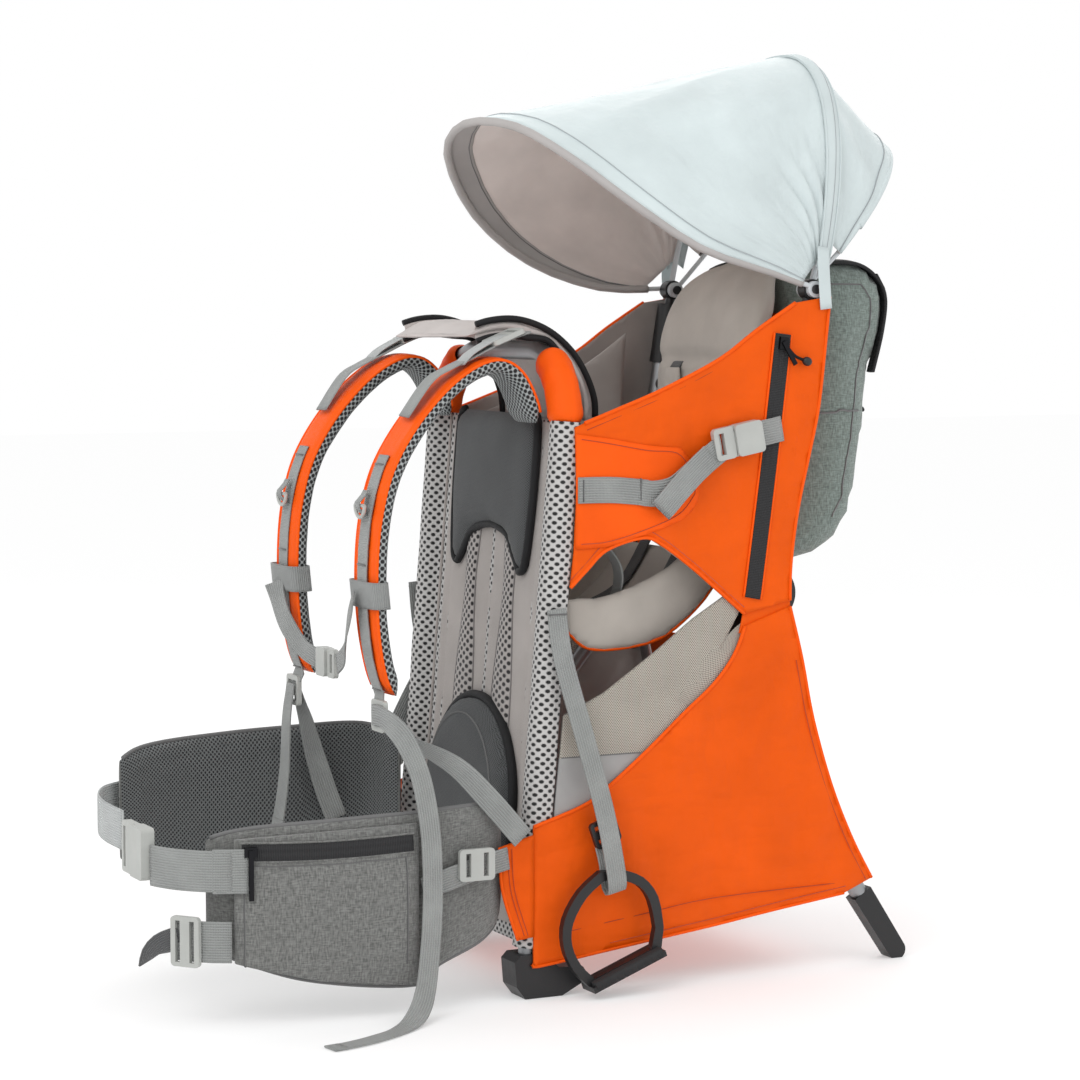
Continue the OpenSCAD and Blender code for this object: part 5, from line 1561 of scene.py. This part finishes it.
SLING = [(64, 352), (82, 334), (127, 333), (169, 344), (206, 372), (232, 410)]
BACK_FRONT = [(240, 424), (256, 460), (262, 520), (263, 600), (270, 640), (284, 672),
              (304, 692), (322, 700)]
BACK_REAR = [(258, 424), (266, 440), (276, 500), (282, 560), (286, 604), (292, 622),
             (304, 645), (318, 672), (330, 686), (334, 696)]
WING_HEM = [(62, 343), (84, 325.5), (127, 324.5), (169, 334.5), (212, 368), (235, 403)]


def seat():
    line = resample(spline(SLING, 6), 44)
    run = directions(line)
    count = 48
    rows = []
    for i, (c, t) in enumerate(zip(line, run)):
        n = np.array([-t[1], t[0]])
        n = n if n[1] > 0 else -n
        f = i / (len(line) - 1)
        ends = fade(f, 0.04, 0.05) * fade(1 - f, 0.04, 0.05)
        row = []
        for k in range(count):
            a = 2 * math.pi * (k + 0.5) / count
            x = 105 * power(math.cos(a), 0.3)
            w = power(math.sin(a), 0.7)
            quilt = -1.4 * peak(abs(x) - 52, 3) - 1.2 * peak(f - 0.55, 0.02)
            out = w * (4.6 * ends) + (quilt + 0.8 * wrinkle((x * MM, f * 0.2, 0), 0.04, 3)) * (
                w > 0)
            row.append(P(x, c[0] + n[0] * out, c[1] + n[1] * out))
        rows.append(row)
    base = grid("seat_base", rows, closed=True, caps=True, mats=["seat_cloth"],
                slot="grey_cloth", replaces=["seat_sling"])
    for s, side in SIDES:
        bm = solid_copy("seat_sling", lambda c: c.x * s > 0.08)
        cut(bm, 0.006, (1, 2))
        crown(bm, (s, 0, 0), 0.012, 0.25, both=True)
        for v in bm.verts:
            v.co.x += s * MM * (1.8 * wrinkle(v.co, 0.035, 3) + 1.0 * wrinkle(v.co, 0.014, 7))
        wing = to_object(bm, f"seat_wing_{side}", ["seat_cloth"], uv_side)
        inflate(wing, 1.5, 10, 0.0015)
        hem(f"seat_wing_piping_{side}", WING_HEM, 1.8, "orange", s * 109)
        stitches(f"seat_wing_seam_{side}", [(66, 350), (88, 334), (127, 333), (166, 343),
                                            (206, 377), (228, 409)], s * 111.2,
                 "dark_thread", 0.5, slot="grey_cloth")

    front = resample(spline(BACK_FRONT, 6), 60)
    rear = resample(spline(BACK_REAR, 6), 60)
    rows = []
    for i, (a, b) in enumerate(zip(front, rear)):
        f = i / 59
        mid, half = (a + b) / 2, (b - a) / 2
        z = mid[1]
        top = max(0.0, (z - 628) / 72)
        wide = 97 * max(0.12, 1 - top ** 2.6) ** (1 / 2.2) - 5 * peak(z - 598, 9)
        wide *= 0.97 + 0.03 * min(1, f / 0.05)
        row = []
        for k in range(56):
            t = 2 * math.pi * (k + 0.5) / 56
            x = power(math.cos(t), 0.38)
            w = power(math.sin(t), 0.7)
            seam = 0.42 * peak(z - 598, 3.5) + 0.25 * peak(z - 500, 3.0)
            middle = 0.22 * peak(x, 0.045) if z < 592 else 0
            bulge = 1.0 - seam * (w < 0) - middle * (w < 0)
            soft = 0.10 * wrinkle((x * 0.1, z * MM, w), 0.04, 5)
            q = mid + half * w * (bulge + soft)
            row.append(P(x * wide, q[0], q[1]))
        rows.append(row)
    pad = grid("seat_back", rows, closed=True, caps=True, mats=["seat_cloth"],
               slot="grey_cloth", replaces=["seat_back_pad"])
    inflate(pad, 4.0, 14, 0.0022)

    lie = [(268, 599), (258, 590), (257.5, 540), (251, 464), (232, 428), (200, 376),
           (168, 357), (144, 351)]
    loop = [(108, 425), (124, 400), (120, 372), (98, 352), (76, 352)]
    for s, side in SIDES:
        one = strap(f"harness_strap_{side}", [(s * 38, y, z) for y, z in lie], (1, 0, 0),
                    (1, 0, 0), 20, "dark_webbing", 2.0)
        if s > 0:
            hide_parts("child_harness")
        rows = []
        line = resample(spline([(257.2, 592), (255.5, 560), (254, 520), (249.5, 476)], 6), 34)
        for i, (y, z) in enumerate(line):
            f = i / 33
            e = math.sqrt(max(0.06, min(1, f / 0.08, (1 - f) / 0.08)))
            row = []
            for k in range(22):
                t = 2 * math.pi * k / 22
                x = 15.5 * power(math.cos(t), 0.6)
                row.append(P(s * 38 + x * (0.9 + 0.1 * e), y - 1.4 - 4.0 * e * math.sin(t)
                             - 0.4 * wrinkle((x * MM, z * MM, 0), 0.015, 2), z))
            rows.append(row)
        cover = grid(f"harness_pad_{side}", rows, closed=True, caps=True,
                     mats=["seat_cloth"], slot="grey_cloth")
        strap(f"harness_loop_{side}", [(s * 94.5, y, z) for y, z in loop], (1, 0, 0),
              (1, 0, 0), 19, thick=2.0)
    rows = []
    for i, z in enumerate((-6.4, -6.0, -3, 2.5, 5.6, 6.4)):
        k = (0.88, 0.97, 1.0, 1.0, 0.93, 0.80)[i]
        rows.append([P(22 * k * power(math.cos(a), 0.6),
                       128 + 20 * k * power(math.sin(a), 0.6),
                       351 + z) for a in np.linspace(0, 2 * math.pi, 36, endpoint=False)])
    grid("harness_buckle", rows, closed=True, caps=True, mats=["black"], slot="black_plastic")
    button = [[P(9 * k * math.cos(a), 128 + 9 * k * math.sin(a), z)
               for a in np.linspace(0, 2 * math.pi, 28, endpoint=False)]
              for k, z in ((1, 356), (1, 358.2), (0.9, 359.0), (0.5, 358.6))]
    grid("harness_button", button, closed=True, caps=True, mats=["orange"], slot="black_plastic")


# ---------- back of the frame ----------

def slab(name, line, half, look, thick, relief, **rest):
    """Cloth stretched across the frame: a line of (y, z) drawn out to both sides."""
    line = resample(spline(line, 6), 48)
    rows = []
    for i, (y, z) in enumerate(line):
        rows.append([P(x, y, z) + Vector((0, 0.8, 0.5)) * relief(x, i / 47) * MM
                     for x in np.linspace(-half, half, 56)])
    obj = grid(name, rows, mats=[look], **rest)
    thicken(obj, thick * MM)
    return obj


def back_of_frame():
    def relief(x, t):
        hold = min(1, (1 - abs(x) / 130) * 6) * math.sin(math.pi * t) ** 0.4
        return hold * (wrinkle((x * MM, t * 0.2, 0), 0.05, 3) - 0.4 * math.cos(math.pi * x / 260))

    lo, hi = (np.array(from_pivot(d, REAR_LEAN)) for d in (40, 278))
    n = (hi - lo) / np.linalg.norm(hi - lo)
    off = np.array([n[1], -n[0]]) * 11.75
    lo, hi = lo + off, hi + off
    panel = slab("rear_cloth", [lo, (lo + hi) / 2, hi], 127.5, "orange_panel", 1.6, relief,
                 slot="orange_cloth", replaces=["rear_panel"])


def storage():
    floor = slab("storage_floor_cloth", [(24, 42), (120, 50), (225, 64), (338, 82)], 111.5,
                 "orange_in", 1.8, lambda x, t: 0.5 * wrinkle((x * MM, t * 0.3, 0), 0.06),
                 body=None, slot="orange_cloth", replaces=["storage_floor"])
    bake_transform(floor)
    line = np.array([from_pivot(-58, -STAND_LEAN), from_pivot(-150, -STAND_LEAN),
                     (332, 156), (352, 106)])
    run = directions(line)
    line = [(y + t[1] * 9.75, z - t[0] * 9.75) for (y, z), t in zip(line, run)]
    rear = slab("storage_rear_cloth", line, 111.5, "orange_panel", 1.8,
                lambda x, t: 0.8 * wrinkle((x * MM, t * 0.25, 0), 0.05, 4), body=None,
                slot="orange_cloth", replaces=["storage_rear_panel"])
    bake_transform(rear)


# ---------- rear bag ----------

BAG_EDGE = [(334, 694), (352, 700), (389, 699), (413, 686), (425, 664), (422, 630), (411, 588),
            (404, 540), (392, 470), (374, 430), (345, 408), (300, 400)]
ZIP_X = 104


def rear_bag():
    """Day bag on the child's back: its sides sag inwards and its belly hangs to the rear."""
    bm = solid_copy("rear_bag")
    cut(bm, 0.012, (0, 1, 2))
    crown(bm, (1, 0, 0), 0.034, 0.80, both=True)
    for v in bm.verts:
        soft = 2.6 * wrinkle(v.co, 0.075, 3) + 1.1 * wrinkle(v.co, 0.03, 8)
        sag = 3.0 * math.sin(math.pi * smoothstep(v.co.z / MM, 430, 560))
        v.co.y += MM * soft * 0.5
        v.co.x -= math.copysign(MM * (sag * 0.6 - soft * 0.7), v.co.x) * smoothstep(
            abs(v.co.x), 0.06, 0.10)
    seam = 0.548

    def which(c, n):
        return int(c.z <= seam and n.y > 0 and abs(c.x) < 0.090)

    bag = to_object(bm, "rear_bag_cloth", ["heather_light", "bag_mesh"],
                    lambda co, n: (co.x, co.z) if abs(n.y) > 0.5 else (co.y, co.z),
                    replaces=["rear_bag"], index=which)
    inflate(bag, 4.0, 16, 0.006)
    return bag


def zips():
    for s, side in SIDES:
        route = resample(spline(SIDE_ZIP, 6), 60)
        pts = [P(s * 159.5, y, z) for y, z in route]
        run = directions(pts)
        sides = [np.cross(t, (1, 0, 0)) for t in run]
        one = sweep(f"side_zip_tape_{side}", pts, sides, section(17, 1.3, 8),
                    mats=["zip"], slot="zip_tape")
        if s > 0:
            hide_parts("zip_tapes")
        for k, d in enumerate((-9.6, 9.6)):
            line = [p + Vector(q) * d * MM + Vector((-s * 0.4 * MM, 0, 0))
                    for p, q in zip(pts, sides)]
            tube(f"side_zip_edge_{k}_{side}", line, 1.1, "orange", 8, slot="orange_cloth")
        # Pull cord and its knob
        top = route[2]
        line = spline(points([(s * 163.6, top[0] + 5, top[1] - 6), (s * 164.6, top[0] + 12,
                       top[1] - 13), (s * 164.4, top[0] + 22, top[1] - 17)]), 6)
        tube(f"side_zip_cord_{side}", line, 1.5, "pull", 8, body=f"side_zip_{side}",
             slot="zip_tape")
        knob = P(s * 164.4, top[0] + 25, top[1] - 18)
        rows = [[knob + Vector((0, 0.92, -0.38)) * 5.2 * MM * math.cos(a)
                 + 4.6 * MM * math.sin(a) * (Vector((1, 0, 0)) * math.cos(b)
                                             + Vector((0, 0.38, 0.92)) * math.sin(b))
                 for b in np.linspace(0, 2 * math.pi, 16, endpoint=False)]
                for a in np.linspace(0.12, math.pi - 0.12, 9)]
        grid(f"side_zip_knob_{side}", rows, closed=True, caps=True, mats=["black"],
             body=f"side_zip_{side}", slot="zip_tape")
    # Zip round the top and rear of the bag
    for s, side in SIDES:
        edge = resample(spline(BAG_EDGE[:7], 6), 60)
        run = directions(edge)
        rows = []
        for (y, z), t in zip(edge, run):
            n = np.array([-t[1], t[0]])
            n = n if n @ np.array([y - 360, z - 560]) > 0 else -n
            row = []
            for q in (0, 3, 7, 11, 14):
                lift = 1.4 - (0.9 if q in (0, 14) else 0) - 0.14 * (14 - q)
                row.append(P(s * (ZIP_X - q), y + n[0] * (lift - 1.6), z + n[1] * (lift - 1.6)))
            rows.append(row)
        tape = grid(f"bag_zip_{side}", rows, mats=["zip"], slot="zip_tape")
        thicken(tape, 0.003)
    strap("bag_zip_tape", [(x, 421.9, 679.5) for x in (-95, -50, 0, 50, 95)], (0, -0.53, 0.85),
          (0, -0.53, 0.85), 18, "zip", 1.6, "zip_tape")


def bag_trim(bag):
    for s, side in SIDES:
        line = snapped(bag, [P(s * 130, y, 548 + 0.02 * (y - 320))
                             for y in np.linspace(306, 402, 40)])
        tube(f"bag_seam_{side}", line, 1.2, "dark_thread", 6, slot="dark_cloth")
        line = snapped(bag, [P(s * 130, y, z) for y, z in resample(spline(
            [(322, 676), (352, 684), (388, 682), (404, 662), (404, 620), (392, 552),
             (378, 480), (362, 440)], 4), 70)])
        tube(f"bag_side_seam_{side}", line, 0.9, "dark_thread", 6, slot="dark_cloth")
    line = snapped(bag, [P(x, 440, 548) for x in np.linspace(-100, 100, 60)], 0.8)
    tube("bag_pocket_edge", line, 2.2, "binding", 8, slot="dark_cloth")
    for k, x in enumerate((-52, 52)):
        line = snapped(bag, [P(x, 440, z) for z in np.linspace(425, 545, 40)], 0.2)
        tube(f"bag_pocket_seam_{k}", line, 0.8, "dark_thread", 6, slot="dark_cloth")


# ---------- straps on the sides and the foot rests ----------


def side_straps():
    for s, side in SIDES:
        one = strap(f"side_strap_sewn_{side}", [(s * 162.0, 47, 482), (s * 162.0, 84, 481.5),
                                                (s * 162.3, 120, 478)],
                    (0, 0, 1), (0, 0.1, 1), 25)
        if s > 0:
            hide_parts("side_straps")
        run = strap(f"side_strap_{side}", [(s * 162.6, 112, 479), (s * 165, 126, 477),
                                           (s * 168, 146, 481), (s * 169, 164, 494),
                                           (s * 168.6, 182, 508), (s * 167.8, 196, 517.5)],
                    (0, 0.05, 1), (0, -0.5, 0.86), 25, body=None)
        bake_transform(run)
        tail = strap(f"side_strap_tail_{side}", [(s * 172.2, 184, 512), (s * 172.6, 168, 499),
                                                 (s * 173.0, 150, 482), (s * 172.2, 133, 464),
                                                 (s * 170.2, 130, 461), (s * 168.6, 134, 465)],
                     (0, -0.6, 0.8), (0, -0.75, 0.66), 25, thick=1.6, body=None)
        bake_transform(tail)
        strap(f"side_strap_rear_{side}", [(s * 166.0, 236, 530.5), (s * 164.2, 246, 532.5),
                                          (s * 162.2, 258, 534.5), (s * 160.5, 269, 536.5)],
              (0, -0.2, 1), (0, -0.2, 1), 25)
        for k, y in enumerate((52, 113)):
            tack = [P(s * 163.2, y, z) for z in (471, 481, 492)]
            tube(f"side_strap_tack_{k}_{side}", tack, 0.8, "dark_thread", 6, slot="webbing")


def stirrup_straps():
    route = [(162.5, 24, 371), (165, 30, 323), (172, 50, 246), (180.5, 66, 178), (184, 75, 128),
             (184, 78, 106), (177, 79, 99.5), (170, 78, 106), (170, 75, 128), (171, 70, 146)]
    for s, side in SIDES:
        strap(f"foot_strap_{side}", [(s * x, y, z) for x, y, z in route], (0, 1, 0.25),
              (0, 1, 0.25), 20, body=f"foot_rest_{side}", replaces=[f"stirrup_strap_{side}"])
        tack = [P(s * 164.0, y, 366) for y in (15, 24.5, 34)]
        tube(f"foot_strap_tack_{side}", tack, 0.9, "dark_thread", 6,
             body=f"foot_rest_{side}", slot="webbing")


def hub_patch():
    """Cloth that joins the upper and lower side panels over the stand's hinge."""
    for s, side in SIDES:
        rows = []
        for z in np.linspace(338, 376, 14):
            rows.append([P(s * (154.9 + 0.7 * math.sin(math.pi * (z - 338) / 38)
                                + 0.25 * wrinkle((0, y * MM, z * MM), 0.012, 4)), y, z)
                         for y in np.linspace(225 + 0.2 * (z - 338), 282, 22)])
        patch = grid(f"hinge_patch_{side}", rows, mats=["orange_panel"], slot="orange_cloth")
        thicken(patch, 0.001)


# ---------- hard parts ----------

HARD = {
    "tube": ("front_frame_tube", "rear_frame_tubes", "seat_support_tubes", "cross_bars",
             "stand_tubes"),
    "pin": ("stand_hinge_pins",),
    "black": ("stand_hinge_hubs", "stand_knuckles", "front_feet", "stand_feet",
              "canopy_sockets", "canopy_hubs", "stirrup_left", "stirrup_right"),
    "cream": ("strap_locks", "buckle_sockets", "side_buckle_tongue_left",
              "side_buckle_tongue_right", "sternum_tongue", "belt_tongue", "d_ring_left",
              "d_ring_right"),
    "rod": ("canopy_main_hoop", "canopy_front_hoop", "canopy_rear_hoop"),
    "pull": ("zip_slider_left", "zip_slider_right", "pocket_slider_left",
             "pocket_slider_right", "bag_slider"),
}


def plate(name, place, outline, lo, hi, body):
    """A rounded raised plate; place(x, y, z) takes mm along, across and out."""
    rows = []
    for k, z in ((1.0, lo), (1.0, hi - 0.7), (0.96, hi - 0.2), (0.88, hi)):
        rows.append([place(x * k, y * k, z) for x, y in outline])
    grid(name, rows, closed=True, caps=True, mats=["cream"], body=body,
         slot="buckle_plastic", smooth=False)


def buckle(name, place, length, width, tongue_body):
    """Side-release details: a pressed-in grip, the two squeeze arms and ribs at the webbing."""
    def oval(a, b):
        return [(a * power(math.cos(t), 0.7), b * power(math.sin(t), 0.7))
                for t in np.linspace(0, 2 * math.pi, 28, endpoint=False)]

    def shifted(cx, cy):
        return lambda x, y, z: place(cx + x, cy + y, z)
    plate(f"{name}_boss", shifted(length * 0.46, 0), oval(length * 0.24, width * 0.26),
          -0.2, 1.1, "frame")
    for k, e in enumerate((-1, 1)):
        plate(f"{name}_arm_{k}", shifted(1.5, e * (width / 2 - 2.4)), oval(6.5, 2.2),
              -4.5, 0.7, tongue_body)
    for k, x in enumerate((length * 0.80, length * 0.88)):
        plate(f"{name}_rib_{k}", shifted(x, 0), oval(0.9, width * 0.34), -0.2, 0.8, "frame")
    plate(f"{name}_bar", shifted(-length * 0.52, 0), oval(1.6, width * 0.36), -2.6, -1.1,
          tongue_body)


def buckles():
    a = math.radians(10.8)
    for s, side in SIDES:
        def place(x, y, z):
            return P(s * (168 + z), 212 + x * math.cos(a) - y * math.sin(a),
                     525.5 + x * math.sin(a) + y * math.cos(a))
        buckle(f"side_buckle_{side}", place, 30, 31, f"side_tongue_{side}")
    buckle("belt_buckle", lambda x, y, z: P(58 + x, -357 - z, 156 + y), 34, 48, "belt_release")
    buckle("sternum_buckle", lambda x, y, z: P(-x, -141 - z, 312 + y), 22, 28, "sternum_release")


def foot_grips():
    """Ribbed rubber round the tread of each foot rest."""
    a, b = np.array((54.5, 9.8)), np.array((126, 37.2))
    run = (b - a) / np.linalg.norm(b - a)
    n = np.array((-run[1], run[0]))
    for s, side in SIDES:
        rows = []
        for i in range(91):
            q = a + (b - a) * i / 90
            rib = 2.4 * abs(math.sin(math.pi * i / 9))
            row = []
            for x, out in ((162.4, 5.0), (163.4, 6.9), (176, 7.3), (188.6, 6.9), (189.6, 5.0),
                           (189.6, 1.0 - rib), (187, -0.6 - rib), (176, -1.0 - rib),
                           (165, -0.6 - rib), (162.4, 1.0 - rib)):
                row.append(P(s * x, q[0] + n[0] * out, q[1] + n[1] * out))
            rows.append(row)
        grid(f"foot_grip_{side}", rows, closed=True, caps=True, mats=["rubber"],
             body=f"foot_rest_{side}", slot="black_plastic")


def hard_parts():
    for look, nodes in HARD.items():
        for node in nodes:
            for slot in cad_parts[node].material_slots:
                slot.material = L[look]


canopy()
webbing_pieces()
hip_belt()
seat()
back_of_frame()
storage()
bag_trim(rear_bag())
zips()
side_straps()
stirrup_straps()
hub_patch()
buckles()
foot_grips()
hard_parts()
